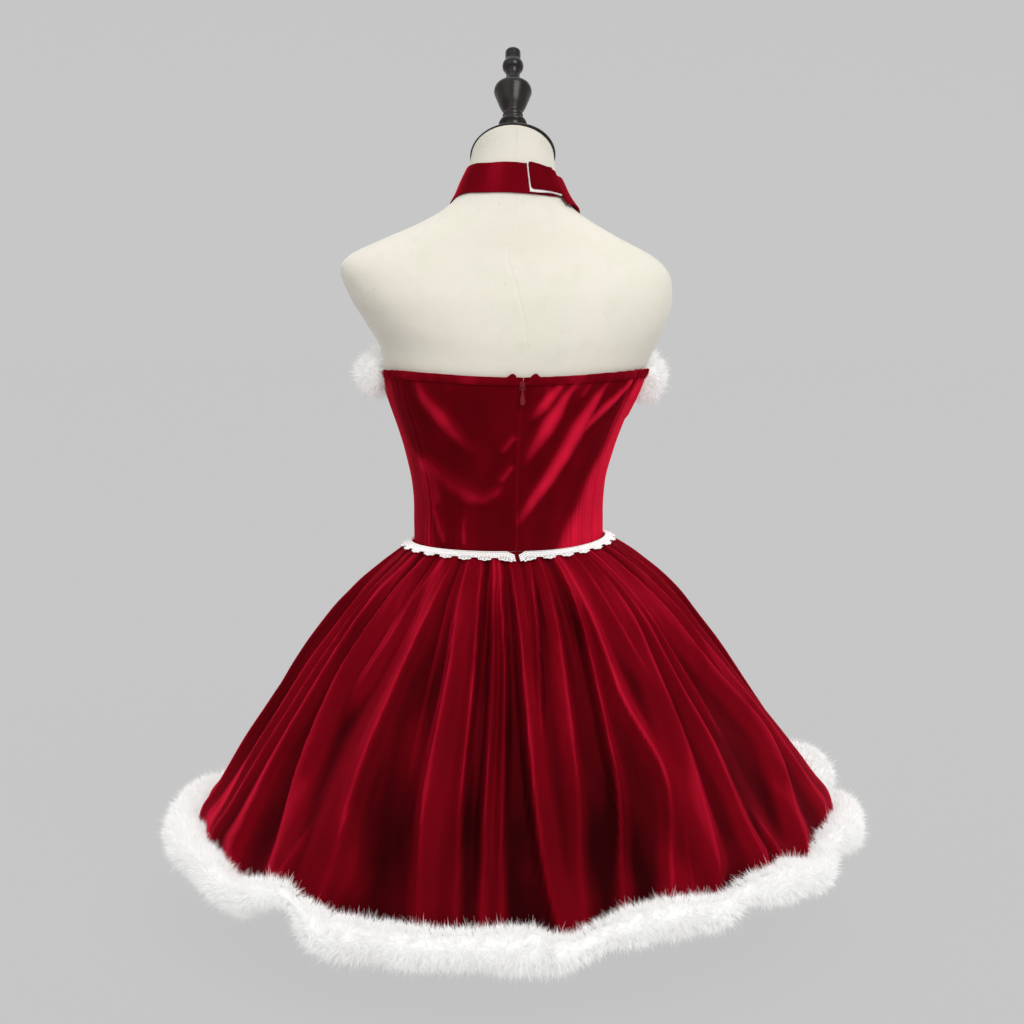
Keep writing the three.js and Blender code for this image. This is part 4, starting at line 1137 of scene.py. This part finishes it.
def skirt_nap_and_painted_light(turn, level):
    """Painted light on the skirt's velvet: highlights up its folds and ridge lines, shade in valleys and
    steep sides.
    """
    down = (WAIST - level) / (WAIST - HEM_LEVEL)
    out, line = folds_at(turn, level)
    steep = np.abs(fold_out(turn + 0.3, level) - fold_out(turn - 0.3, level)) / 0.6
    full = 3 + 10 * smooth(down / 0.25) - 5 * smooth((down - 0.5) / 0.5)
    height = (out + FOLDS_IN * smooth(down / 0.2) * smooth((1 - down) / 0.2)) / full
    # Random patches of pile tone.
    patches = 0.15 * crumple(turn / 9, down * 2.2, 41)
    # Painted shade: darker low at the centre back and on a fold's steep side.
    shaded = smooth((down - 0.5) / 0.3) * hump(turn_between(turn, 0), 65)
    dark = 0.1 * np.clip(steep - 2, 0, 6) + 0.22 * shaded
    # Painted highlight: lighter the higher on its fold a place stands, darker low in its valley.
    pile_and_painted_light = 0.48 * smooth(height / 0.5) + 0.11 * smooth((height - 0.7) / 0.4) - 0.52
    return np.clip(NAP_AND_PAINTED_LIGHT_GAIN * (pile_and_painted_light + 0.18 * line + patches - dark), -1, 1)


def skirt_point(turn, level, out, folds=fold_out):
    turn, level = np.broadcast_arrays(np.asarray(turn, float), np.asarray(level, float))
    down = smooth((320 - level) / (320 - HEM_LEVEL))
    normal = normal_of(skirt_mean, turn, np.maximum(level, HEM_LEVEL + 1))
    # At the waist seam the cloth's edge is level, so that it meets the bodice's edge.
    normal[..., 2] *= smooth((WAIST - level) / 16)
    normal /= np.linalg.norm(normal, axis=-1, keepdims=True)
    place = skirt_mean(turn, level) + normal * (folds(turn, level) + out)[..., None]
    swing = hem_wave(turn, "out") * down
    for axis, share in enumerate(compass(turn)):
        place[..., axis] += share * swing
    near_waist = 1 - smooth((WAIST - level) / 120)
    place[..., 2] += hem_wave(turn, "lift") * down + waist_lift(turn) * near_waist
    return place


GORES = ("skirt_back_left", "skirt_front_left", "skirt_front_right", "skirt_back_right")


class DRESS_OT_skirt(DressOperator, bpy.types.Operator):
    """Four gathered velvet gores of the skirt"""

    bl_idname = "dress.skirt"
    bl_label = "Skirt"

    def build(self, context):
        top = WAIST - SEAM_GAP
        levels = top - (top - HEM_LEVEL) * np.linspace(0, 1, 84) ** 1.15
        for i, name in enumerate(GORES):
            turns = np.linspace(90 * i, 90 * (i + 1), 165)
            turn, level = np.meshgrid(turns, levels)
            outer, inner = skirt_point(turn, level, 0), skirt_point(turn, level, -SKIRT_CLOTH)
            shell = wall(outer, inner, skirt_nap_and_painted_light(turn, level))
            thing = piece(name + "_velvet", shell, velvet())
            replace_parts(thing, name)


class DRESS_OT_lace(DressOperator, bpy.types.Operator):
    """Crochet lace over the waist seam, made of cotton yarn"""

    bl_idname = "dress.lace"
    bl_label = "Waist lace"

    def build(self, context):
        self.yarn = context.scene.dress_lace.yarn / MM
        probe = np.linspace(1.1, 358.9, 2000)
        ring = skirt_mean(probe, 452.0)
        length = np.concatenate([[0], np.cumsum(np.linalg.norm(np.diff(ring, axis=0), axis=1))])
        self.pitch = length[-1] / SCALLOPS
        shells = [s for i in range(SCALLOPS) for s in self.scallop(i)]
        shell = together(shells)
        along, drop, out = shell.points.T
        turn = np.interp(along, length, probe)
        shell.points = self.on_waist(turn, drop, out)
        thing = piece("waist_lace_yarn", outward(shell), lace(), sharp=80)
        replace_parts(thing, "waist_lace")

    def on_waist(self, turn, drop, out):
        """Where a point of the flat lace lies, from its turn, its drop from the seam and its height."""
        top, probe = WAIST - SEAM_GAP, 14
        steep = probe / np.linalg.norm(skirt_mean(turn, top) - skirt_mean(turn, top - probe), axis=-1)
        drop = drop + 6 * hump(turn_between(turn, 0), 7)
        level = top - drop * steep
        stand = 1.9 + 2.6 * np.clip(drop, 0, 18) / 18
        place = skirt_mean(turn, level) + normal_of(skirt_mean, turn, level) * (stand + out)[..., None]
        place[..., 2] += waist_lift(turn)
        return place

    def scallop(self, number):
        """One repeat of the lace, flat: three cords, close stitches between them, and a beaded arch."""
        left, pitch, yarn = number * self.pitch, self.pitch, self.yarn
        cords = (0.5, 3.3, 6.2)

        def line(x, y, thick=1.0, lift=0.0, sides=5):
            path = np.stack(np.broadcast_arrays(left + np.asarray(x, float), y, lift + 0.5), -1)
            return tube(path, yarn * thick, sides)

        def arch(x):
            return cords[-1] + 6.4 * np.sin(math.pi * x / pitch) ** 0.9

        across = np.linspace(0, pitch, 9)
        shells = [line(across, y + 0.2 * np.sin(across * 2.1), 1.3) for y in cords]
        for x in (np.arange(11) + 0.5) * pitch / 11:
            shells.append(line([x - 0.5, x + 0.5], cords[:2], 0.9))
            shells.append(line([x + 0.5, x - 0.5], cords[:2], 0.9, 0.2))
        for x in (np.arange(14) + 0.5) * pitch / 14:
            shells.append(line([x - 0.1, x + 0.2], cords[1:], 1.1))
            shells.append(line([x, x + 0.18 * (x - pitch / 2)], [cords[-1] - 0.2, arch(x)], 1.15))
        bend = np.linspace(-0.3, math.pi + 0.3, 8)
        for x in (np.arange(5) + 0.5) * pitch / 5:
            bead = pitch / 5 * 0.52
            shells.append(line(x - bead * np.cos(bend), arch(x) + 1.1 * np.sin(bend), 1.3, 0.2))
        return shells


def geometry_tree(name, sockets):
    """A new geometry tree with named inputs, and the identifier of each."""
    tree = bpy.data.node_groups.new(name, "GeometryNodeTree")
    tree.interface.new_socket("Geometry", in_out="OUTPUT", socket_type="NodeSocketGeometry")
    identifiers = {}
    for label, kind in {"Geometry": "NodeSocketGeometry", **sockets}.items():
        identifiers[label] = tree.interface.new_socket(label, in_out="INPUT", socket_type=kind).identifier
    return Tree(tree), identifiers


def grow(source, tree, identifiers, values):
    """The plain mesh that a geometry tree makes on a source object, which is then removed."""
    modifier = source.modifiers.new("Grow", "NODES")
    modifier.node_group = tree.tree
    for label, value in values.items():
        modifier[identifiers[label]] = value
    bpy.context.view_layer.update()
    evaluated = source.evaluated_get(bpy.context.evaluated_depsgraph_get())
    mesh = bpy.data.meshes.new_from_object(evaluated)
    bpy.data.objects.remove(source)
    return mesh


def plain_object(name, points, quads=(), triangles=(), edges=()):
    """A source object for a geometry tree, with its points given in millimetres."""
    mesh = bpy.data.meshes.new(name)
    faces = [tuple(int(i) for i in f) for f in [*quads, *triangles]]
    mesh.from_pydata([tuple(p) for p in np.asarray(points) * MM], list(edges), faces)
    thing = bpy.data.objects.new(name, mesh)
    bpy.context.scene.collection.objects.link(thing)
    return thing


def grown_piece(name, mesh, body=BODY):
    """An object from a grown mesh that rides on a CAD body."""
    mesh.name = name
    thing = bpy.data.objects.new(name, mesh)
    bpy.context.scene.collection.objects.link(thing)
    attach(thing, body)
    return thing


def tuft_tree():
    """Two coats of tufts over a surface: combed by slow swirls and gravity, spun and scaled at random."""
    tree, names = geometry_tree("fur_tufts", {
        "Pile": "NodeSocketObject", "Pile density": "NodeSocketFloat", "Guard": "NodeSocketObject",
        "Guard density": "NodeSocketFloat", "Lean": "NodeSocketFloat", "Droop": "NodeSocketFloat",
        "Swirl": "NodeSocketFloat", "Seed": "NodeSocketInt", "Material": "NodeSocketMaterial",
    })
    given = tree.add("NodeGroupInput").outputs
    place = tree.add("GeometryNodeInputPosition").outputs[0]
    swirl = tree.add("ShaderNodeTexNoise", {"Vector": place, "Scale": given["Swirl"], "Detail": 1.5})
    centred = tree.vector("SUBTRACT", {0: swirl.outputs["Color"], 1: (0.5, 0.5, 0.5)})
    comb = tree.vector("SCALE", {0: centred, "Scale": given["Lean"]})
    falling = tree.add("ShaderNodeCombineXYZ", {"Z": given["Droop"]}).outputs[0]
    combed = tree.vector("ADD", {0: comb, 1: falling})
    spin = tree.add("FunctionNodeRandomValue", {"Seed": given["Seed"]}, data_type="FLOAT_VECTOR")
    spin.inputs["Min"].default_value = (-0.28, -0.28, -math.pi)
    spin.inputs["Max"].default_value = (0.28, 0.28, math.pi)
    spun = tree.add("FunctionNodeEulerToRotation", {0: spin.outputs[0]}).outputs[0]
    size = tree.add("FunctionNodeRandomValue", {"Seed": given["Seed"]}, data_type="FLOAT")
    size.inputs["Min"].default_value = 0.72
    size.inputs["Max"].default_value = 1.12
    coats = tree.add("GeometryNodeJoinGeometry")
    for coat in ("Guard", "Pile"):
        points = tree.add("GeometryNodeDistributePointsOnFaces", {
            "Mesh": given["Geometry"], "Density": given[coat + " density"], "Seed": given["Seed"],
        })
        aim = tree.vector("ADD", {0: points.outputs["Normal"], 1: combed})
        facing = tree.add("FunctionNodeAlignRotationToVector", {"Vector": aim}, axis="Z").outputs[0]
        turned = tree.add(
            "FunctionNodeRotateRotation", {"Rotation": facing, "Rotate By": spun}, rotation_space="LOCAL"
        ).outputs[0]
        tuft = tree.add("GeometryNodeObjectInfo", {"Object": given[coat]}).outputs["Geometry"]
        scattered = tree.add("GeometryNodeInstanceOnPoints", {
            "Points": points.outputs["Points"], "Instance": tuft,
            "Rotation": turned, "Scale": size.outputs[1],
        }).outputs[0]
        real = tree.add("GeometryNodeRealizeInstances", {0: scattered}).outputs[0]
        tree.tree.links.new(real, coats.inputs[0])
    tree.tree.links.new(given["Geometry"], coats.inputs[0])
    tree.finished(coats.outputs[0], given["Material"])
    return tree, names


def tuft_object(pile, hair, blades):
    """One small tuft: bent blades, widest halfway, that spread from a common root."""
    rng = np.random.default_rng(5)
    points, triangles = [], []
    for k in range(blades):
        angle = 2 * math.pi * (k + rng.uniform(-0.3, 0.3)) / blades
        spread = rng.uniform(0.10, 0.42)
        out = np.array([math.cos(angle), math.sin(angle), 0])
        side = np.array([-out[1], out[0], 0])
        length = pile * rng.uniform(0.7, 1.15)
        root = out * pile * 0.06 + side * pile * rng.uniform(-0.05, 0.05) + np.array([0, 0, -0.08 * pile])
        middle = root + (out * spread * 0.62 + np.array([0, 0, 1])) * length * 0.52
        curl = out * rng.uniform(0.25, 0.6) + side * rng.uniform(-0.35, 0.35) + np.array([0, 0, 0.82])
        tip = middle + curl / np.linalg.norm(curl) * length * 0.5
        start = len(points)
        points += [root, middle - side * hair / 2, middle + side * hair / 2, tip]
        triangles += [(start, start + 2, start + 1), (start + 1, start + 2, start + 3)]
    return plain_object("tuft", np.array(points), triangles=triangles)


def grow_fur(name, core, density, seed_step, tree, names):
    """Dense short fur on its backing, with a few longer and finer hairs through it."""
    looks = bpy.context.scene.dress_fur
    pile = tuft_object(looks.pile / MM, looks.hair / MM, blades=8)
    guard = tuft_object(looks.guard / MM, looks.hair / MM * 0.6, blades=4)
    source = plain_object(name + "_backing", core.points, core.quads, core.triangles)
    source.data.shade_smooth()
    mesh = grow(source, tree, names, {
        "Pile": pile, "Pile density": density, "Guard": guard, "Guard density": looks.guard_density,
        "Lean": 1.5, "Droop": -0.1, "Swirl": 42.0, "Seed": looks.seed + seed_step, "Material": fur(),
    })
    bpy.data.objects.remove(pile)
    bpy.data.objects.remove(guard)
    return grown_piece(name, mesh)


class DRESS_OT_fur(DressOperator, bpy.types.Operator):
    """White fur at the hem and over the neckline"""

    bl_idname = "dress.fur"
    bl_label = "Fur trim"

    def build(self, context):
        looks = context.scene.dress_fur
        tree, names = tuft_tree()
        for i, side in enumerate(("back_left", "front_left", "front_right", "back_right")):
            core = self.hem_core(90 * i + 0.05, 90 * (i + 1) - 0.05)
            thing = grow_fur("hem_fur_" + side, core, looks.hem_density, i, tree, names)
            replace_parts(thing, "hem_fur_" + side.split("_")[1])
        thing = grow_fur("neckline_fur_pile", self.neck_core(), looks.neck_density, 9, tree, names)
        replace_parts(thing, "neckline_fur")

    def hem_core(self, first, last):
        """The strip's stuffed backing, close against the skirt and under its edge."""
        turns = np.linspace(first, last, 76)
        near = [
            np.linalg.norm(skirt_point(turns + d, HEM_FUR["clear"], 0)[:, :2], axis=1)
            for d in np.linspace(-2.2, 2.2, 5)
        ]
        clear = np.max(near, axis=0) + 0.3
        lump = 1.6 * np.sin(np.radians(turns) * 11 + 1) + 1.2 * np.sin(np.radians(turns) * 23) - 0.4
        full = (HEM_FUR["radius"] + lump) * (1 - hem_wave(turns, "slim"))
        radius = full - HEM_FUR["pile"] + 3.2 * crumple(turns / 5.5, 0, 17)
        tuck, lift = hem_wave(turns, "tuck"), hem_wave(turns, "lift")
        middle = clear + 0.84 * full - HEM_FUR["tuck_in"] * tuck
        low = HEM_FUR["level"] - HEM_FUR["tuck_down"] * tuck
        rings = []
        for angle in np.linspace(0, 2 * math.pi, HEM_FUR["rings"], endpoint=False):
            height = low + (radius + 2 * crumple(turns / 4, angle, 29)) * math.sin(angle)
            snug = np.where(height > HEM_LEVEL - 3, clear, 0)
            plump = radius + (4 if math.cos(angle) < 0 else 0)
            out = np.maximum(middle + plump * math.cos(angle), snug)
            s, c = compass(turns)
            rings.append(np.stack([out * s, out * c, height + lift], -1))
        return skin(np.stack(rings, 1))

    def neck_core(self):
        """The neckline's backing, from one side of the bodice round the front, with rounded ends."""
        end, round_end = NECK_FUR["end"], NECK_FUR["round_end"]
        turns = np.linspace(end + 2.4, 360 - end - 2.4, 150)
        from_end = np.minimum(turns - end, 360 - end - turns)
        swell = np.sqrt(np.clip(1 - (1 - np.minimum(1, from_end / round_end)) ** 2, 0.06, 1))
        uneven = 0.95 + 0.05 * np.sin(np.radians(turns) * 13)
        radius = NECK_FUR["radius"] * uneven * swell - NECK_FUR["pile"] * swell
        # The end at the wearer's right hangs lower.
        middle = top_edge(turns) - 1 - NECK_FUR["sag"] * hump(turn_between(turns, 279), 40)
        rings = []
        for angle in np.linspace(0, 2 * math.pi, NECK_FUR["rings"], endpoint=False):
            level = middle + radius * math.sin(angle)
            snug = CLOTH_CLEAR + CLOTH + 0.6 + bodice_relief(turns, level)
            out = np.maximum(snug, NECK_FUR["out"] + radius * math.cos(angle))
            rings.append(off_form(turns, level, out))
        return skin(np.stack(rings, 1))


def band_point(station, t, out, mirrored=False, drop=0.0):
    """A place on the halter band, from its station and t, 0 at its upper edge and 1 at its lower."""
    upper, upper_level, lower, lower_level = columns(
        BAND_SECTIONS, "upper upper_level lower lower_level", station
    )
    turn = upper * (1 - t) + lower * t
    level = upper_level * (1 - t) + lower_level * t
    return off_form(-turn if mirrored else turn, level - drop, out)


class DRESS_OT_halter(DressOperator, bpy.types.Operator):
    """Halter bands, the squared tab that laps over, and the hook tape under it"""

    bl_idname = "dress.halter"
    bl_label = "Halter"

    # The tab lies this far out over the other band, between these turns and levels.
    lap = 4.6
    tab_from, tab_to = -12.5, -47.5
    tab_top, tab_foot = 871.5, 844.5
    # Each band: its last station, how far it rises over the other, and how far it drops behind the neck.
    bands = {
        "left": {"last": 12.0, "lift": 0, "drop": 0},
        "right": {"last": 8.26, "lift": 3, "drop": 9},
    }

    def build(self, context):
        across = np.concatenate([[0, 0.02, 0.06], np.linspace(0.12, 0.88, 9), [0.94, 0.98, 1]])
        plump = CLOTH + 0.9 * np.sin(math.pi * across) ** 0.5 - 0.35
        for side, band in self.bands.items():
            mirrored = side == "right"
            station, t = np.meshgrid(np.linspace(0, band["last"], 130), across)
            thick = np.broadcast_to(plump[:, None], t.shape)
            drop = band["drop"] * smooth((station - 5.2) / 1.5)
            rest = HALTER_CLEAR + band["lift"] * smooth((station - 6.2) / 1.6)
            soft = 0.5 * np.abs(crumple(station * 0.9, t * 0.8, 11 + mirrored)) * np.sin(math.pi * t)
            outer = band_point(station, t, rest + thick + soft, mirrored, drop)
            inner = band_point(station, t, rest, mirrored, drop)
            shell = wall(outer, inner, 0.35 * crumple(station * 0.5, t * 0.5, 23 + mirrored) - 0.05)
            if mirrored:
                shell = together([shell, self.tab(across, plump)])
            thing = piece(f"halter_{side}_velvet", shell, velvet())
            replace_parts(thing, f"halter_{side}")
        self.tape()

    def on_tab(self, turn, t):
        """The level of a place on the tab, whose corners are rounded off."""
        upper = self.tab_top + 0.02 * (turn - self.tab_from)
        lower = self.tab_foot - 0.03 * (turn - self.tab_from)
        near = np.minimum(np.abs(turn - self.tab_from), np.abs(turn - self.tab_to)) / 2.6
        cut = 3.2 * (1 - np.sqrt(np.clip(1 - (1 - np.minimum(near, 1)) ** 2, 0, 1)))
        return (upper - cut) * (1 - t) + (lower + cut) * t

    def tab(self, across, plump):
        near = np.array([0, 0.25, 0.6, 1.2, 2])
        middle = np.linspace(self.tab_from - 3, self.tab_to + 3, 26)
        turns = np.concatenate([self.tab_from - near, middle, self.tab_to + near[::-1]])
        turn, t = np.meshgrid(turns, across)
        edge = np.minimum(np.abs(turn - self.tab_from), np.abs(turn - self.tab_to))
        thick = (plump[:, None] - 0.2) * (0.55 + 0.45 * smooth(edge / 2))
        level = self.on_tab(turn, t)
        rest = HALTER_CLEAR + self.lap
        nap = 0.2 * crumple(turn / 16, t * 0.6, 31) - 0.15
        return wall(off_form(turn, level, rest + thick), off_form(turn, level, rest), nap)

    def tape(self):
        """The hook tape shows as a pale line beside the tab and a crescent under its corner."""
        turns = np.linspace(self.tab_from + 1.0, self.tab_to + 3, 48)
        turn, t = np.meshgrid(turns, np.linspace(0, 1, 7))
        crescent = 1.9 * smooth((turn + 36) / 20)
        level = (self.tab_top - 1) * (1 - t) + (self.tab_foot - 0.3 - crescent) * t
        rest = HALTER_CLEAR + CLOTH + 1.0
        thing = piece("halter_hook_tape", wall(
            off_form(turn, level, HALTER_CLEAR + self.lap - 0.25), off_form(turn, level, rest)
        ), hook_tape())
        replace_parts(thing, "halter_tape")


def repeat_tree():
    """A small shape repeated along a path, aligned with it."""
    tree, names = geometry_tree("along_path", {
        "Shape": "NodeSocketObject", "Pitch": "NodeSocketFloat", "Material": "NodeSocketMaterial",
    })
    given = tree.add("NodeGroupInput").outputs
    curve = tree.add("GeometryNodeMeshToCurve", {0: given["Geometry"]}).outputs[0]
    even = tree.add(
        "GeometryNodeResampleCurve", {"Curve": curve, "Length": given["Pitch"]}, mode="LENGTH"
    ).outputs[0]
    ahead = tree.add("GeometryNodeInputTangent").outputs[0]
    facing = tree.add("FunctionNodeAlignRotationToVector", {"Vector": ahead}, axis="X").outputs[0]
    shape = tree.add("GeometryNodeObjectInfo", {"Object": given["Shape"]}).outputs["Geometry"]
    placed = tree.add(
        "GeometryNodeInstanceOnPoints", {"Points": even, "Instance": shape, "Rotation": facing}
    ).outputs[0]
    real = tree.add("GeometryNodeRealizeInstances", {0: placed}).outputs[0]
    tree.finished(real, given["Material"])
    return tree, names


def repeated(name, paths, shape, pitch, material):
    """A piece made of one shape repeated along several paths of points."""
    points = np.concatenate(paths)
    edges, start = [], 0
    for path in paths:
        edges += [(start + i, start + i + 1) for i in range(len(path) - 1)]
        start += len(path)
    tree, names = repeat_tree()
    sample = plain_object("sample", shape.points, shape.quads, shape.triangles)
    source = plain_object(name + "_path", points, edges=edges)
    mesh = grow(source, tree, names, {"Shape": sample, "Pitch": pitch, "Material": material})
    bpy.data.objects.remove(sample)
    mesh.shade_smooth()
    return grown_piece(name, mesh)


class DRESS_OT_stitches(DressOperator, bpy.types.Operator):
    """Rows of stitches along the casing and the halter's tab"""

    bl_idname = "dress.stitches"
    bl_label = "Stitches"

    def build(self, context):
        paths = []
        for sign in (1, -1):
            turn = sign * np.linspace(5, 74, 140)
            level = top_edge(turn) - CASING_DEPTH + 0.8
            out = CLOTH_CLEAR + CLOTH + 1.35 + bodice_relief(turn, level)
            paths.append(off_form(turn, level, out))
        halter = DRESS_OT_halter
        turn = np.linspace(halter.tab_from - 2.4, halter.tab_to + 2.4, 30)
        for t in (0.1, 0.9):
            level = (halter.tab_top - 0.5) * (1 - t) + (halter.tab_foot + 0.3) * t
            paths.append(off_form(turn, level, HALTER_CLEAR + halter.lap + CLOTH + 0.25))
        reach = np.linspace(-1.1, 1.1, 5)
        arched = np.stack([reach, 0 * reach, 0.16 - 0.12 * reach**2], -1)
        stitch = tube(arched, [0.1, 0.22, 0.24, 0.22, 0.1], 6)
        pitch = context.scene.dress_velvet.stitch_pitch
        repeated("velvet_stitches", paths, stitch, pitch, velvet())


def rounded_box(size, centre, round_by, steps=4):
    """A box with its edges rounded, built as a skin of rounded rings from one face to the other."""
    half = np.array(size) / 2
    angle = np.linspace(0, math.pi / 2, steps)
    soft = 0.9 * round_by
    rings = []
    for y, inset in ((-half[1], soft), (soft - half[1], 0), (half[1] - soft, 0), (half[1], soft)):
        ring = []
        for k, (sx, sz) in enumerate(((1, 1), (-1, 1), (-1, -1), (1, -1))):
            a = angle + k * math.pi / 2
            x = sx * (half[0] - round_by) + (round_by - inset) * np.cos(a)
            z = sz * (half[2] - round_by) + (round_by - inset) * np.sin(a)
            ring.append(np.stack([x, np.full(steps, y), z], -1))
        rings.append(np.concatenate(ring) + centre)
    return skin(np.array(rings))


class DRESS_OT_zip(DressOperator, bpy.types.Operator):
    """Centre-back zip: its teeth, slider and pull tab"""

    bl_idname = "dress.zip"
    bl_label = "Zip"

    def build(self, context):
        pin = np.array(frame["joints"][0]["pos_m"]) / MM
        levels = np.linspace(ZIP["foot"], ZIP["top"], 90)
        rows = [
            off_form(np.full_like(levels, side * ZIP["apart"]), levels, ZIP["out"]) for side in (-1, 1)
        ]
        tooth = rounded_box(ZIP["tooth"], (0, 0, 0), 0.2, 2)
        teeth = repeated("zip_teeth", rows, tooth, ZIP["pitch"] * MM, enamel())
        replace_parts(teeth, "zip_coil")

        # A plate on the teeth, with an ear for each end of the pin.
        seat = np.array([pin[0], pin[1] - 3.5, SLIDER_LEVEL])
        ear_out, pin_half = np.array([1.75, 0, 0]), np.array([1.9, 0, 0])
        slider = [rounded_box((6.4, 1.6, 10), seat + (0, 0.8, 0), 0.6)]
        for out in (-ear_out, ear_out):
            slider.append(rounded_box((0.9, 3.6, 3.4), seat + (0, 3.0, 0) + out, 0.3))
        slider.append(tube([pin - pin_half, pin + pin_half], 0.5, 14))
        thing = piece("zip_slider_body", together(slider), enamel(), sharp=40)
        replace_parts(thing, "zip_slider")
        thing = piece("zip_pull_drop", self.pull(pin), enamel(), PULL_BODY, 40)
        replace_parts(thing, "zip_pull")

    def pull(self, pin):
        """A drop-shaped tab with a raised rim, hung from an eye round the pin."""
        drop = np.linspace(1.6, 21, 26)
        half = np.interp(drop, PULL_OUTLINE["down"], PULL_OUTLINE["half"])
        quarter = [(1, 0.5), (0.94, 1), (0.72, 1), (0.6, 0.55)]
        upper = quarter + [(-x, y) for x, y in quarter[::-1]]
        around = np.array(upper + [(-x, -y) for x, y in upper])
        thin = np.where(drop < 20.6, 0.5, 0.3)
        rings = np.stack([
            pin[0] + half[:, None] * around[:, 0],
            pin[1] + thin[:, None] * around[:, 1],
            np.broadcast_to((pin[2] - drop)[:, None], (len(drop), len(around))),
        ], -1)
        angle = np.linspace(0, 2 * math.pi, 24, endpoint=False)
        up = np.stack([0 * angle, np.cos(angle), np.sin(angle)], -1)
        eye = pin + 1.12 * up
        turn = np.linspace(0, 2 * math.pi, 10, endpoint=False)[None, :, None]
        ring = eye[:, None] + 0.85 * np.cos(turn) * np.array([1.0, 0, 0]) + 0.3 * np.sin(turn) * up[:, None]
        return together([skin(rings), skin(ring, closed=True)])


class DRESS_OT_stage(DressOperator, bpy.types.Operator):
    """Pale paper backdrop, soft lights and the camera"""

    bl_idname = "dress.stage"
    bl_label = "Stage"

    def build(self, context):
        looks = context.scene.dress_stage
        self.paper()
        for lamp in LAMPS:
            self.light(**lamp)
        world = bpy.data.worlds.new("studio")
        world.use_nodes = True
        world.node_tree.nodes["Background"].inputs[0].default_value = (1, 1, 1, 1)
        world.node_tree.nodes["Background"].inputs[1].default_value = looks.sky
        context.scene.world = world
        context.scene.view_settings.view_transform = "Standard"
        self.camera(context)

    def paper(self):
        """One sheet, swept up all round far behind the camera."""
        flat, cove, high, sides = 9000, 2500, 6500, 96
        profile = [(0.5, 0), (3000, 0), (6000, 0)]
        profile += [
            (flat + cove * math.sin(a), cove * (1 - math.cos(a))) for a in np.linspace(0, math.pi / 2, 16)
        ]
        profile.append((flat + cove, high))
        shell = lathe(profile, sides)
        # Only the floor's middle is closed, and the top stays open.
        sheet = plain_object("backdrop", shell.points, shell.quads, shell.triangles[:sides])
        sheet.data.shade_smooth()
        sheet.data.materials.append(backdrop_paper())

    def light(self, name, strength, high, turn, wide):
        """A wide soft light; strength is the name of its setting."""
        data = bpy.data.lights.new(name, "SUN")
        data.energy = getattr(bpy.context.scene.dress_stage, strength)
        data.angle = math.radians(wide)
        lamp = bpy.data.objects.new(name, data)
        bpy.context.scene.collection.objects.link(lamp)
        high, turn = math.radians(high), math.radians(turn)
        towards = Vector((math.sin(turn) * math.cos(high), math.cos(turn) * math.cos(high), math.sin(high)))
        lamp.rotation_mode = "QUATERNION"
        lamp.rotation_quaternion = towards.to_track_quat("Z", "Y")
        lamp.location = towards * 3

    def camera(self, context):
        distance, height, turn, pitch, lens = 2.5, 0.845, 5.5, 8.08, 75.4
        data = bpy.data.cameras.new("camera")
        data.sensor_width = 36
        data.lens = lens
        camera = bpy.data.objects.new("camera", data)
        context.scene.collection.objects.link(camera)
        angle = math.radians(turn)
        camera.location = (math.sin(angle) * distance, math.cos(angle) * distance, height)
        camera.rotation_euler = (math.radians(90 - pitch), 0, math.radians(180 - turn))
        context.scene.camera = camera


OPERATORS = (
    DRESS_OT_stage, DRESS_OT_form, DRESS_OT_stand, DRESS_OT_bodice, DRESS_OT_skirt, DRESS_OT_lace,
    DRESS_OT_halter, DRESS_OT_zip, DRESS_OT_stitches, DRESS_OT_fur,
)
SETTINGS = {
    "dress_velvet": DressVelvet,
    "dress_fur": DressFur,
    "dress_lace": DressLace,
    "dress_form": DressForm,
    "dress_stage": DressStage,
}


class DRESS_PT_sidebar(bpy.types.Panel):
    """Settings and steps of the dress"""

    bl_label = "Dress"
    bl_idname = "DRESS_PT_sidebar"
    bl_space_type = "VIEW_3D"
    bl_region_type = "UI"
    bl_category = "Dress"

    def draw(self, context):
        for name, group in SETTINGS.items():
            box = self.layout.box()
            box.label(text=group.__name__)
            for setting in group.__annotations__:
                box.prop(getattr(context.scene, name), setting)
        for operator in OPERATORS:
            self.layout.operator(operator.bl_idname)


def register():
    for group in SETTINGS.values():
        bpy.utils.register_class(group)
    for operator in OPERATORS:
        bpy.utils.register_class(operator)
    bpy.utils.register_class(DRESS_PT_sidebar)
    for name, group in SETTINGS.items():
        setattr(bpy.types.Scene, name, bpy.props.PointerProperty(type=group))


def unregister():
    for name in SETTINGS:
        delattr(bpy.types.Scene, name)
    bpy.utils.unregister_class(DRESS_PT_sidebar)
    for operator in reversed(OPERATORS):
        bpy.utils.unregister_class(operator)
    for group in reversed(list(SETTINGS.values())):
        bpy.utils.unregister_class(group)


def main():
    register()
    for operator in OPERATORS:
        getattr(bpy.ops.dress, operator.bl_idname.split(".")[1])()


if __name__ == "__main__":
    main()
